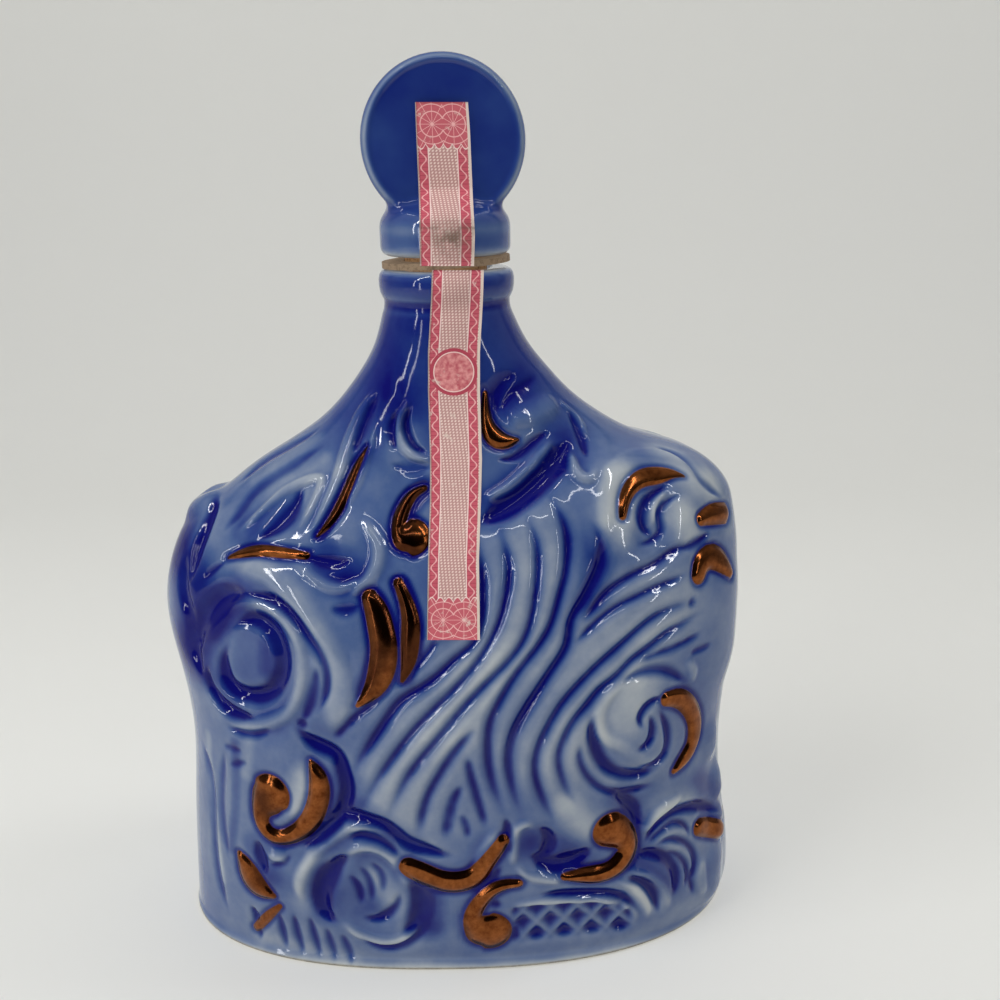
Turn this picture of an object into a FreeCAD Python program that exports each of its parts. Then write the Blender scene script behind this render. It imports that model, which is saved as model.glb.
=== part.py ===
"""Porcelain liquor decanter: an oval flask with a round neck, a disc-headed cork stopper and a cut paper strip.

Frame: millimetres, +Z up, origin at the middle of the foot, -Y towards the face that carries the strip.
"""

import FreeCAD
import Part
import Sketcher

import math
import os

# Driving dimensions: name, value in millimetres or, where the meaning says so, in degrees, and meaning.
SIZES = [
    ("body_half_width", 76.2, "middle of the foot to either end of the oval"),
    ("body_half_depth", 41.0, "middle of the foot to its front"),
    ("shoulder_height", 113.0, "foot to where the shoulders turn in"),
    ("neck_height", 162.0, "foot to where the shoulders have become the round neck"),
    ("neck_length", 10.5, "neck's start to the top of the lip"),
    ("wall", 3.0, "porcelain wall under the relief"),
    ("relief_height", 2.0, "how far the moulded relief stands out of the front and back"),
    ("relief_root", 8.0, "middle plane to where the relief's forms start inside the porcelain"),
    ("rib_half_width", 1.9, "middle of a moulded rib or ring to its side"),
    ("floor_thickness", 6.0, "porcelain under the liquor"),
    ("foot_ring_width", 7.0, "flat ring that the decanter stands on"),
    ("foot_recess", 1.5, "hollow inside the foot ring"),
    ("neck_radius", 15.8, "neck below the collar"),
    ("collar_radius", 16.4, "rolled collar round the lip"),
    ("collar_height", 6.6, "lip to the underside of the collar"),
    ("collar_round", 1.6, "rounding of the collar's two edges"),
    ("groove_radius", 15.2, "bottom of the groove under the collar"),
    ("bore_radius", 10.0, "mouth that the cork goes into"),
    ("bore_depth", 24.0, "straight part of the mouth"),
    ("throat_ledge", 0.6, "step where the hollow opens out below the bore"),
    ("cork_clearance", 0.1, "cork to bore, all round"),
    ("cork_depth", 22.0, "cork below the lip"),
    ("cork_tip_radius", 9.2, "lower end of the cork"),
    ("cork_chamfer", 1.0, "bevel of the cork's lower edge"),
    ("cork_floor", 4.0, "cork below the end of the peg"),
    ("washer_radius", 15.4, "cork washer, outside"),
    ("washer_thickness", 1.4, "cork washer"),
    ("washer_play", 0.3, "washer's hole to the cork, all round"),
    ("washer_tilt", 2.5, "how far the loose washer has slipped out of level, in degrees"),
    ("seat_gap", 0.15, "washer to the lip below it and to the head above it"),
    ("peg_radius", 5.0, "porcelain peg that the cork is glued on"),
    ("glue_gap", 0.05, "peg to cork, all round"),
    ("stopper_turn", 5.0, "how far the stopper stands turned from the front, in degrees"),
    ("foot_radius", 15.6, "foot of the stopper's head"),
    ("foot_height", 11.4, "foot of the stopper's head"),
    ("foot_round", 2.0, "rounding of its lower edge"),
    ("foot_dome", 5.0, "rounding of its upper edge"),
    ("disc_radius", 18.9, "disc of the stopper's head"),
    ("disc_thickness", 16.0, "disc of the stopper's head, front to back"),
    ("disc_round", 3.0, "rounding of the disc's rim"),
    ("disc_rise", 25.4, "head's underside to the middle of the disc"),
    ("waist_round", 2.5, "hollow where the disc grows out of its foot"),
    ("strip_width", 11.9, "paper strip"),
    ("strip_thickness", 0.2, "paper strip"),
    ("strip_gap", 0.2, "paper strip to the glaze"),
    ("strip_top", 8.0, "upper end of the strip above the middle of the disc"),
    ("strip_bend", 10.4, "where the strip leaves the disc, below its middle"),
    ("strip_fold", 9.0, "where the strip meets the stopper's foot, above the head's underside"),
    ("strip_hang", 0.25, "hanging end of the strip to the stopper's foot and the washer"),
    ("strip_cut", 0.35, "cut ends of the strip to the plane of the lip"),
    ("strip_end", 92.0, "foot of the decanter to the lower end of the strip"),
    ("strip_slip", 3.2, "middle of the lower strip's cut end, to the right of the neck's axis"),
    ("strip_lean", 1.5, "lower strip's lean to the left on its way down, in degrees"),
    ("overrun", 2.0, "how far a cutting shape runs past what it cuts"),
]

# Skin over the relief below the shoulder: height as a share of shoulder_height, reach to the left and to the right
# as shares of body_half_width, reach to the front and back as a share of body_half_depth, and how deep the wall
# lies under that skin as a share of relief_height.
BODY_SHARES = [
    (0.000, 1.000, 1.000, 1.000, 0.0),
    (0.130, 0.986, 0.995, 1.032, 1.0),
    (0.330, 0.963, 0.952, 1.044, 1.0),
    (0.490, 0.948, 0.946, 1.037, 1.0),
    (0.640, 0.972, 0.966, 1.012, 1.0),
    (0.790, 1.000, 0.978, 0.960, 1.0),
    (0.910, 0.960, 0.973, 0.880, 1.0),
    (1.000, 0.875, 0.952, 0.780, 1.0),
]

# Shoulders: height as a share of the rise from shoulder_height to neck_height, reach to the left, to the right and
# to the front and back as shares of how far the body stands out past the neck, and depth of the wall as above.
SHOULDER_SHARES = [
    (0.110, 0.715, 0.910, 0.535, 1.0),
    (0.210, 0.608, 0.840, 0.430, 0.9),
    (0.300, 0.497, 0.710, 0.345, 0.8),
    (0.380, 0.390, 0.510, 0.280, 0.6),
    (0.470, 0.285, 0.375, 0.215, 0.4),
    (0.590, 0.185, 0.245, 0.140, 0.2),
    (0.720, 0.102, 0.145, 0.078, 0.1),
    (0.860, 0.036, 0.056, 0.025, 0.0),
    (1.000, 0.000, 0.000, 0.000, 0.0),
]

# Moulded ribs and waves on the front: routes through places across and up, as shares of body_half_width and
# shoulder_height.
RIB_SHARES = [
    [(0.138, 1.000), (0.152, 0.930), (0.140, 0.860)],
    [(0.055, 0.775), (-0.030, 0.715), (-0.140, 0.640), (-0.300, 0.490)],
    [(0.190, 1.030), (0.220, 0.900), (0.120, 0.770), (-0.080, 0.610), (-0.240, 0.440)],
    [(0.280, 1.050), (0.310, 0.920), (0.210, 0.780), (0.010, 0.600), (-0.150, 0.400)],
    [(0.370, 1.060), (0.410, 0.950), (0.310, 0.780), (0.170, 0.630), (0.190, 0.420)],
    [(0.760, 0.930), (0.620, 0.900), (0.490, 0.860), (0.390, 0.800)],
    [(0.750, 0.860), (0.600, 0.840), (0.400, 0.740), (0.235, 0.580), (0.270, 0.400)],
    [(0.760, 0.805), (0.620, 0.785), (0.460, 0.705), (0.310, 0.550), (0.340, 0.430)],
    [(0.070, 0.560), (0.000, 0.480), (-0.070, 0.360)],
    [(-0.760, 0.930), (-0.600, 0.935), (-0.450, 0.865), (-0.360, 0.760), (-0.350, 0.680), (-0.410, 0.600)],
    [(-0.530, 0.150), (-0.535, 0.200), (-0.500, 0.255), (-0.435, 0.318), (-0.360, 0.360), (-0.285, 0.378)],
    [(0.490, 0.990), (0.490, 1.080), (0.580, 1.135), (0.720, 1.117)],
]

# Rings of the swirls: place across and up, and radius as a share of body_half_width.
RING_SHARES = [
    (-0.645, 0.725, 0.190),
    (-0.280, 0.205, 0.138),
    (0.595, 0.575, 0.125),
]

# Round ends of the scrolls, in the same form.
BALL_SHARES = [
    (-0.616, 0.414, 0.072),
    (0.107, 0.110, 0.074),
    (0.514, 0.329, 0.060),
    (-0.120, 1.015, 0.047),
]

# Scrolls shaped like crescents: a tip, the outer edge, the other tip and the inner edge, across and up.
SCROLL_SHARES = [
    [(-0.242, 0.909), (-0.163, 0.795), (-0.292, 0.666), (-0.243, 0.793)],
    [(-0.153, 0.933), (-0.092, 0.836), (-0.149, 0.719), (-0.147, 0.835)],
    [(-0.463, 0.519), (-0.450, 0.335), (-0.672, 0.340), (-0.505, 0.370)],
    [(-0.171, 0.293), (0.009, 0.215), (0.161, 0.348), (-0.017, 0.274)],
    [(0.207, 0.232), (0.065, 0.205), (0.040, 0.120), (0.095, 0.190)],
    [(0.575, 0.335), (0.585, 0.225), (0.362, 0.227), (0.515, 0.262)],
    [(0.535, 1.028), (0.580, 1.108), (0.740, 1.085), (0.613, 1.082)],
    [(0.678, 0.630), (0.845, 0.515), (0.739, 0.423), (0.770, 0.525)],
    [(-0.071, 1.107), (-0.163, 1.060), (-0.144, 1.026), (-0.123, 1.060)],
]

# At how many stations along a rib its two sides are laid out.
RIB_STATION_COUNT = 9

# How many of the shoulder's sections the hollow follows before it closes to the bore.
HOLLOW_SECTION_COUNT = 6

# Heights at which the lower strip is laid on the bottle, as shares of the rise from its end to neck_height.
STRIP_SHARES = [0.0, 0.07, 0.14, 0.21, 0.28, 0.35, 0.42, 0.49, 0.56, 0.63, 0.7, 0.77, 0.84, 0.91]

# The lip's height, as an expression.
LIP = "(Sizes.neck_height + Sizes.neck_length)"

doc = FreeCAD.newDocument("Decanter")


def make_sheet():
    """The driving dimensions as a spreadsheet with an alias for each."""
    made = doc.addObject("Spreadsheet::Sheet", "Sizes")
    for row, (alias, value, meaning) in enumerate(SIZES, start=1):
        made.set(f"A{row}", meaning)
        made.set(f"B{row}", str(value))
        made.setAlias(f"B{row}", alias)
    doc.recompute()
    return made


sheet = make_sheet()


def size(alias):
    """A driving dimension as a number."""
    return float(sheet.get(alias))


def lip_height():
    """Foot to the top of the lip, as a number."""
    return size("neck_height") + size("neck_length")


def add(kind, name, **expressions):
    """An object whose properties are bound to the sheet. Two underscores stand for a dot, as in Base__z."""
    made = doc.addObject(kind, name)
    for prop, text in expressions.items():
        made.setExpression(prop.replace("__", "."), text)
    return made


def cylinder(name, radius, height, base="0"):
    """An upright cylinder on the axis, from three expressions."""
    return add("Part::Cylinder", name, Radius=radius, Height=height, Placement__Base__z=base)


def boolean(kind, name, base, tool):
    """A cut or a common part of two objects."""
    made = doc.addObject(kind, name)
    made.Base = base
    made.Tool = tool
    return made


def fuse(name, shapes):
    """One solid made of several that overlap."""
    made = doc.addObject("Part::MultiFuse", name)
    made.Shapes = shapes
    return made


def body_rows(shoulder_count, sink):
    """Expressions for the height, left, right and front reach of the body's sections, from the foot up.

    The sink is an expression for how far the front lies under the skin where the relief is highest.
    """
    rows = []
    for rise, left, right, front, relief in BODY_SHARES:
        rows.append((
            f"Sizes.shoulder_height * {rise}",
            f"Sizes.body_half_width * {left}",
            f"Sizes.body_half_width * {right}",
            f"Sizes.body_half_depth * {front} - {sink} * {relief}",
        ))
    for rise, left, right, front, relief in SHOULDER_SHARES[:shoulder_count]:
        rows.append((
            f"Sizes.shoulder_height + (Sizes.neck_height - Sizes.shoulder_height) * {rise}",
            f"Sizes.neck_radius + (Sizes.body_half_width - Sizes.neck_radius) * {left}",
            f"Sizes.neck_radius + (Sizes.body_half_width - Sizes.neck_radius) * {right}",
            f"Sizes.neck_radius + (Sizes.body_half_depth - Sizes.neck_radius) * {front} - {sink} * {relief}",
        ))
    return rows


def ring_row(height, radius):
    """A round section, in the same form as the rows of the wall."""
    return (height, radius, radius, radius)


def oval_loft(name, rows, inset="0"):
    """A smooth solid through oval sections, each drawn in by the inset."""
    sections = []
    for number, (height, left, right, front) in enumerate(rows):
        sections.append(add(
            "Part::Ellipse",
            f"{name}_section_{number}",
            MajorRadius=f"({left} + {right}) / 2 - ({inset})",
            MinorRadius=f"{front} - ({inset})",
            Placement__Base__x=f"({right} - ({left})) / 2",
            Placement__Base__z=height,
        ))
    made = doc.addObject("Part::Loft", name)
    made.Sections = sections
    made.Solid = True
    made.Ruled = False
    return made


def turn(shape, axis, angle):
    """Turns an object about an axis through its own base by an angle given as an expression."""
    for letter, share in zip("xyz", axis):
        shape.setExpression(f"Placement.Rotation.Axis.{letter}", str(share))
    shape.setExpression("Placement.Rotation.Angle", angle)


def named(shape, label):
    """Gives a finished sub-part its own label."""
    shape.Label = label
    return shape


def make_collar():
    """Rolled collar round the lip, with both its edges rounded."""
    ring = cylinder("collar_ring", "Sizes.collar_radius", "Sizes.collar_height",
                    f"{LIP} - Sizes.collar_height")
    doc.recompute()
    made = doc.addObject("Part::Fillet", "collar")
    made.Base = ring
    made.Edges = [(number, size("collar_round"), size("collar_round")) for number in closed_edges(ring)]
    return made


def spot(across, up):
    """A place on the plane where the relief's forms start, from shares across and up."""
    return FreeCAD.Vector(across * size("body_half_width"), -size("relief_root"), up * size("shoulder_height"))


def disc_face(middle, radius):
    """A round face in a plane that looks to the front."""
    return Part.Face(Part.Wire(Part.Circle(middle, FreeCAD.Vector(0, 1, 0), radius).toShape()))


def spline(points):
    """A smooth curve through points."""
    curve = Part.BSplineCurve()
    curve.interpolate(points)
    return curve


def rib_face(route):
    """A band of even width with round ends along a smooth route."""
    curve = spline([spot(*share) for share in route])
    left, right, tips = [], [], []
    for point in curve.toShape().discretize(Number=RIB_STATION_COUNT):
        ahead = curve.tangent(curve.parameter(point))[0] * size("rib_half_width")
        aside = ahead.cross(FreeCAD.Vector(0, 1, 0))
        left.append(point - aside)
        right.append(point + aside)
        tips.append((point - ahead, point + ahead))
    return Part.Face(Part.Wire([
        spline(left).toShape(),
        Part.Arc(left[-1], tips[-1][1], right[-1]).toShape(),
        spline(right[::-1]).toShape(),
        Part.Arc(right[0], tips[0][0], left[0]).toShape(),
    ]))


def ring_face(across, up, radius):
    """A ring as wide as a rib."""
    middle = spot(across, up)
    radius = radius * size("body_half_width")
    outer = disc_face(middle, radius + size("rib_half_width"))
    return outer.cut(disc_face(middle, radius - size("rib_half_width"))).Faces[0]


def scroll_face(corners):
    """A crescent between two arcs that share their tips."""
    tip, outer, end, inner = (spot(*share) for share in corners)
    return Part.Face(Part.Wire([Part.Arc(tip, outer, end).toShape(), Part.Arc(end, inner, tip).toShape()]))


def make_relief(skin):
    """Ribs, swirls and scrolls raised from the front as far as the skin, and the same on the back."""
    faces = [rib_face(route) for route in RIB_SHARES]
    faces += [ring_face(*ring) for ring in RING_SHARES]
    faces += [disc_face(spot(across, up), radius * size("body_half_width")) for across, up, radius in BALL_SHARES]
    faces += [scroll_face(corners) for corners in SCROLL_SHARES]
    outlines = doc.addObject("Part::Feature", "relief_outlines")
    outlines.Shape = faces[0].multiFuse(faces[1:])
    stamps = add("Part::Extrusion", "relief_stamps", LengthFwd="2 * Sizes.body_half_depth")
    stamps.Base = outlines
    stamps.DirMode = "Custom"
    stamps.Dir = FreeCAD.Vector(0, -1, 0)
    stamps.Solid = True
    front = boolean("Part::Common", "relief_front", stamps, skin)
    back = doc.addObject("Part::Mirroring", "relief_back")
    back.Source = front
    back.Normal = FreeCAD.Vector(0, 1, 0)
    return [front, back]


def make_body():
    """Hollow porcelain bottle: lofted wall with its relief, neck, rolled collar, bore and foot ring."""
    count = len(SHOULDER_SHARES)
    wall = oval_loft("wall_form", body_rows(count, "Sizes.relief_height"))
    relief = make_relief(oval_loft("skin_form", body_rows(count, "0")))
    neck = cylinder("neck", "Sizes.groove_radius", "Sizes.neck_length - Sizes.collar_round + Sizes.overrun",
                    "Sizes.neck_height - Sizes.overrun")
    outside = fuse("outside", [wall, neck, make_collar()] + relief)

    inner_rows = body_rows(HOLLOW_SECTION_COUNT, "Sizes.relief_height")
    first = inner_rows[0]
    inner_rows = [(f"{height} - Sizes.wall", left, right, front) for height, left, right, front in inner_rows[1:]]
    inner_rows.insert(0, ("Sizes.floor_thickness",) + first[1:])
    throat = ring_row(f"{LIP} - Sizes.bore_depth",
                      "Sizes.bore_radius + Sizes.throat_ledge + Sizes.wall")
    hollow = oval_loft("hollow", inner_rows + [throat], "Sizes.wall")
    bore = cylinder("bore", "Sizes.bore_radius", "Sizes.bore_depth + 2 * Sizes.overrun",
                    f"{LIP} - Sizes.bore_depth - Sizes.overrun")
    recess_rows = []
    for height in ("-Sizes.overrun", "Sizes.foot_recess"):
        recess_rows.append((height, "Sizes.body_half_width", "Sizes.body_half_width", "Sizes.body_half_depth"))
    recess = oval_loft("foot_recess", recess_rows, "Sizes.foot_ring_width")
    hollowed = boolean("Part::Cut", "hollowed", outside, hollow)
    bored = boolean("Part::Cut", "bored", hollowed, bore)
    return named(boolean("Part::Cut", "decanter", bored, recess), "decanter_body")


SEAT_HEIGHT = (
    f"({LIP} + 2 * Sizes.seat_gap + Sizes.washer_thickness * cos(Sizes.washer_tilt * 1deg)"
    " + 2 * Sizes.washer_radius * sin(Sizes.washer_tilt * 1deg))"
)


def sketch_on(body, role, name):
    """A sketch on one of the body's own origin planes."""
    sketch = body.newObject("Sketcher::SketchObject", name)
    plane = next(feature for feature in body.Origin.OriginFeatures if feature.Role == role)
    sketch.AttachmentSupport = [(plane, "")]
    sketch.MapMode = "FlatFace"
    return sketch


def constrain(sketch, kind, *where, expression=None):
    """Adds a constraint and, where it carries a size, binds that to the sheet."""
    index = sketch.addConstraint(Sketcher.Constraint(kind, *where))
    if expression:
        sketch.setExpression(f"Constraints[{index}]", expression)


def foot_profile(body):
    """Half section of the head's foot: flat underside, rounded lower edge, domed upper edge."""
    radius = size("foot_radius")
    height = size("foot_height")
    lower = size("foot_round")
    upper = size("foot_dome")
    point = FreeCAD.Vector
    up = point(0, 0, 1)
    right_angle = math.pi / 2
    sketch = sketch_on(body, "XZ_Plane", "foot_profile")
    lower_circle = Part.Circle(point(radius - lower, lower, 0), up, lower)
    upper_circle = Part.Circle(point(radius - upper, height - upper, 0), up, upper)
    sketch.addGeometry([
        Part.LineSegment(point(0, 0, 0), point(radius - lower, 0, 0)),
        Part.ArcOfCircle(lower_circle, -right_angle, 0),
        Part.LineSegment(point(radius, lower, 0), point(radius, height - upper, 0)),
        Part.ArcOfCircle(upper_circle, 0, right_angle),
        Part.LineSegment(point(radius - upper, height, 0), point(0, height, 0)),
        Part.LineSegment(point(0, height, 0), point(0, 0, 0)),
    ], False)
    start, end = 1, 2
    constrain(sketch, "Coincident", 0, start, -1, 1)
    constrain(sketch, "Horizontal", 0)
    for edge in range(4):
        constrain(sketch, "Tangent", edge, end, edge + 1, start)
    constrain(sketch, "Coincident", 4, end, 5, start)
    constrain(sketch, "Coincident", 5, end, 0, start)
    constrain(sketch, "Vertical", 5)
    constrain(sketch, "Radius", 1, lower, expression="Sizes.foot_round")
    constrain(sketch, "Radius", 3, upper, expression="Sizes.foot_dome")
    constrain(sketch, "DistanceX", -1, 1, 2, start, radius, expression="Sizes.foot_radius")
    constrain(sketch, "DistanceY", -1, 1, 4, end, height, expression="Sizes.foot_height")
    return sketch


def circle_sketch(body, role, name, radius, rise=None):
    """A circle about the axis, or raised up the axis by the expression given as its rise."""
    sketch = sketch_on(body, role, name)
    middle = FreeCAD.Vector(0, size(rise) if rise else 0, 0)
    sketch.addGeometry(Part.Circle(middle, FreeCAD.Vector(0, 0, 1), size(radius)), False)
    constrain(sketch, "Radius", 0, size(radius), expression=f"Sizes.{radius}")
    if rise:
        constrain(sketch, "PointOnObject", 0, 3, -2)
        constrain(sketch, "DistanceY", -1, 1, 0, 3, size(rise), expression=f"Sizes.{rise}")
    else:
        constrain(sketch, "Coincident", 0, 3, -1, 1)
    return sketch


def pad(body, name, sketch, length, symmetric=False, reverse=False):
    """A pad of a sketch to a length given as an expression."""
    made = body.newObject("PartDesign::Pad", name)
    made.Profile = sketch
    made.SideType = "Symmetric" if symmetric else "One side"
    made.Reversed = reverse
    made.setExpression("Length", length)
    return made


def round_off(body, name, base, edges, radius):
    """A fillet of the base's edges with those numbers."""
    made = body.newObject("PartDesign::Fillet", name)
    made.Base = (base, [f"Edge{number}" for number in edges])
    made.setExpression("Radius", radius)
    return made


def closed_edges(feature):
    """Numbers of the feature's edges that run full circle."""
    return [number for number, edge in enumerate(feature.Shape.Edges, start=1) if edge.isClosed()]


def junction_edges(feature, height):
    """Numbers of the edges between a face that reaches above the height and one that stays below it."""
    found = []
    for number, edge in enumerate(feature.Shape.Edges, start=1):
        reach = [face.BoundBox.ZMax > height for face in feature.Shape.ancestorsOfType(edge, Part.Face)]
        if any(reach) and not all(reach):
            found.append(number)
    return found


def make_head():
    """Porcelain head of the stopper: disc on edge, domed foot, hollowed waist, and the peg for the cork."""
    body = doc.addObject("PartDesign::Body", "head")
    disc = pad(body, "disc", circle_sketch(body, "XZ_Plane", "disc_outline", "disc_radius", "disc_rise"),
               "Sizes.disc_thickness", symmetric=True)
    doc.recompute()
    round_off(body, "disc_rim", disc, closed_edges(disc), "Sizes.disc_round")

    foot = body.newObject("PartDesign::Revolution", "foot")
    foot.Profile = foot_profile(body)
    foot.ReferenceAxis = (foot.Profile[0], ["V_Axis"])
    doc.recompute()
    round_off(body, "waist", foot, junction_edges(foot, size("disc_rise")), "Sizes.waist_round")
    pad(body, "peg", circle_sketch(body, "XY_Plane", "peg_outline", "peg_radius"),
        f"{SEAT_HEIGHT} - {LIP} + Sizes.cork_depth - Sizes.cork_floor", reverse=True)
    body.setExpression("Placement.Base.z", SEAT_HEIGHT)
    turn(body, (0, 0, 1), "(Sizes.stopper_turn * 1deg)")
    return named(body, "stopper_head")


def make_cork():
    """Tapered cork sleeve: glued on the peg above, bevelled at its lower end."""
    length = f"({SEAT_HEIGHT} - {LIP} + Sizes.cork_depth)"
    taper = add("Part::Cone", "cork_taper", Radius1="Sizes.cork_tip_radius", Height=length,
                Radius2="Sizes.bore_radius - Sizes.cork_clearance")
    doc.recompute()
    bevel = doc.addObject("Part::Chamfer", "cork_bevel")
    bevel.Base = taper
    tip = min(closed_edges(taper), key=lambda number: taper.Shape.Edges[number - 1].BoundBox.ZMax)
    bevel.Edges = [(tip, size("cork_chamfer"), size("cork_chamfer"))]
    hole = cylinder("cork_hole", "Sizes.peg_radius + Sizes.glue_gap", length, "Sizes.cork_floor - Sizes.glue_gap")
    cork = boolean("Part::Cut", "cork", bevel, hole)
    cork.setExpression("Placement.Base.z", f"{LIP} - Sizes.cork_depth")
    return named(cork, "stopper_cork")


def make_washer():
    """Loose washer on the cork, slipped out of level so that its right side is high."""
    ring = cylinder("washer_ring", "Sizes.washer_radius", "Sizes.washer_thickness", "-Sizes.washer_thickness / 2")
    hole = cylinder("washer_hole", "Sizes.bore_radius - Sizes.cork_clearance + Sizes.washer_play",
                    "2 * Sizes.washer_thickness", "-Sizes.washer_thickness")
    washer = boolean("Part::Cut", "washer", ring, hole)
    washer.setExpression("Placement.Base.z", f"({LIP} + {SEAT_HEIGHT}) / 2")
    turn(washer, (0, -1, 0), "(Sizes.washer_tilt * 1deg)")
    return named(washer, "cork_washer")


def flat_band(height, front):
    """Outline, seen from above, of a flat strip of paper whose inner face lies that far in front of the axis."""
    half = size("strip_width") / 2
    back = front + size("strip_thickness")
    corners = [(-half, -back), (half, -back), (half, -front), (-half, -front), (-half, -back)]
    return Part.makePolygon([FreeCAD.Vector(across, along, height) for across, along in corners])


def curved_band(height, middle, front):
    """Outline, seen from above, of a strip of paper on a round face: front gives the face's reach at a place."""
    half = size("strip_width") / 2
    places = [middle - half, middle, middle + half]
    inner = [FreeCAD.Vector(across, -front(across), height) for across in places]
    outer = [point - FreeCAD.Vector(0, size("strip_thickness"), 0) for point in inner]
    return Part.Wire([
        Part.Arc(*outer).toShape(),
        Part.makeLine(outer[2], inner[2]),
        Part.Arc(*reversed(inner)).toShape(),
        Part.makeLine(inner[0], outer[0]),
    ])


def round_front(radius):
    """Reach of a round face about the axis, as a function of the place across it."""
    return lambda across: math.sqrt(radius * radius - across * across)


def make_upper_strip(head):
    """Paper strip on the stopper: flat on the disc, folded over the domed foot and hanging to the lip."""
    face = size("disc_thickness") / 2 + size("strip_gap")
    foot = round_front(max(size("foot_radius"), size("washer_radius")) + size("strip_hang"))
    strip = doc.addObject("Part::Feature", "upper_paper")
    strip.Shape = Part.makeLoft([
        flat_band(size("disc_rise") + size("strip_top"), face),
        flat_band(size("disc_rise") - size("strip_bend"), face),
        curved_band(size("strip_fold"), 0, foot),
        curved_band(lip_height() + size("strip_cut") - head.Placement.Base.z, 0, foot),
    ], True, True)
    strip.setExpression("Placement.Base.z", SEAT_HEIGHT)
    turn(strip, (0, 0, 1), "(Sizes.stopper_turn * 1deg)")
    return named(strip, "strip_upper")


def make_lower_strip(bottle):
    """Paper strip on the bottle: laid from the collar across the groove and down the shoulder and front."""
    top = lip_height() - size("strip_cut")
    lean = math.tan(math.radians(size("strip_lean")))

    def band(height, front):
        """The strip's outline at a height, on a face with that reach."""
        return curved_band(height, size("strip_slip") - (top - height) * lean, front)

    def wall_front(height):
        """Reach of the bottle's front at a height, just clear of the glaze."""
        def reach(across):
            start = FreeCAD.Vector(across, 0, height)
            probe = Part.makeLine(start, start - FreeCAD.Vector(0, 2 * size("body_half_depth"), 0))
            return size("strip_gap") - probe.common(bottle.Shape).BoundBox.YMin
        return reach

    start = size("strip_end")
    rise = size("neck_height") - start
    collar = round_front(size("collar_radius") + size("strip_gap"))
    bands = [band(start + rise * share, wall_front(start + rise * share)) for share in STRIP_SHARES]
    bands.append(band(lip_height() - size("collar_height"), collar))
    bands.append(band(top, collar))
    strip = doc.addObject("Part::Feature", "lower_paper")
    strip.Shape = Part.makeLoft(bands, True, False)
    return named(strip, "strip_lower")


def export(parts):
    """Checks every object of the document and writes one file for each sub-part."""
    doc.recompute()
    for feature in doc.Objects:
        if "Invalid" in feature.State or "Error" in feature.State:
            raise RuntimeError(f"{feature.Name} did not build")
    os.makedirs("parts", exist_ok=True)
    for part in parts:
        shape = part.Shape
        if shape.isNull() or not shape.isValid() or not shape.Solids:
            raise RuntimeError(f"{part.Label} is not a sound solid")
        shape.exportStep(f"parts/{part.Label}.step")


decanter = make_body()
stopper = make_head()
cork = make_cork()
washer = make_washer()
doc.recompute()
upper = make_upper_strip(stopper)
lower = make_lower_strip(doc.getObject("wall_form"))
export([decanter, stopper, cork, washer, upper, lower])
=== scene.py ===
"""Looks of the porcelain decanter: moulded relief, pooled glaze, copper lustre, cork and printed paper.

Sizes are in millimetres and become metres where a mesh is made. Traced strokes are in pixels of the
photograph, on a square of 1000 by 1000, and are laid on the bottle's wall along the camera's rays.
"""

import math

import bpy
import numpy as np
from mathutils import Matrix, Vector
from mathutils.bvhtree import BVHTree


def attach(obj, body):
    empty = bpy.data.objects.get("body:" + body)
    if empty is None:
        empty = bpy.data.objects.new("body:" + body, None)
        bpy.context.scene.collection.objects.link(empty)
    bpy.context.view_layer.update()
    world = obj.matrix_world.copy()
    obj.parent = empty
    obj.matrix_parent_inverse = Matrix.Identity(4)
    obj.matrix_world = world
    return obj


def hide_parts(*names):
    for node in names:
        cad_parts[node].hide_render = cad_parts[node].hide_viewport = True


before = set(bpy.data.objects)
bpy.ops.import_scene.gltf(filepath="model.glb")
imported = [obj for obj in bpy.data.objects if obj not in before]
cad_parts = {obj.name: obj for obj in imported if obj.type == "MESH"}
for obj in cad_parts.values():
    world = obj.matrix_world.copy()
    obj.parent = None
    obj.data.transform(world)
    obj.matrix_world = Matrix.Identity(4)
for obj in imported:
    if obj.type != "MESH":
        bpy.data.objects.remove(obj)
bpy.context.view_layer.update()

MM = 0.001

# Camera: place, tilt down and roll, and focal length in pixels of the photograph.
PHOTO_SIDE = 1000
FOCAL = 1003
SENSOR = 36
CAMERA_AT = np.array([12.2, -247.6, 194.1])
CAMERA_PITCH = 18.1
CAMERA_ROLL = 0.8

# One pixel of the photograph on the front of the bottle, in millimetres.
PIXEL = 0.25

# Bottle: the driving sizes of the solid, and its sections as shares of them.
HALF_WIDTH = 76.2
HALF_DEPTH = 41.0
SHOULDER_HEIGHT = 113.0
NECK_HEIGHT = 162.0
LIP_HEIGHT = 172.5
NECK_RADIUS = 15.8
BORE_RADIUS = 10.0
BORE_DEPTH = 24.0
HOLLOW_WALL = 7.0
FLOOR = 6.0
FOOT_RING = 7.0
FOOT_RECESS = 1.5

# How far, and up to which height, the glazed wall curls in at the right end of the foot.
FOOT_CURL = 3.0
FOOT_CURL_HEIGHT = 9.0

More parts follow.
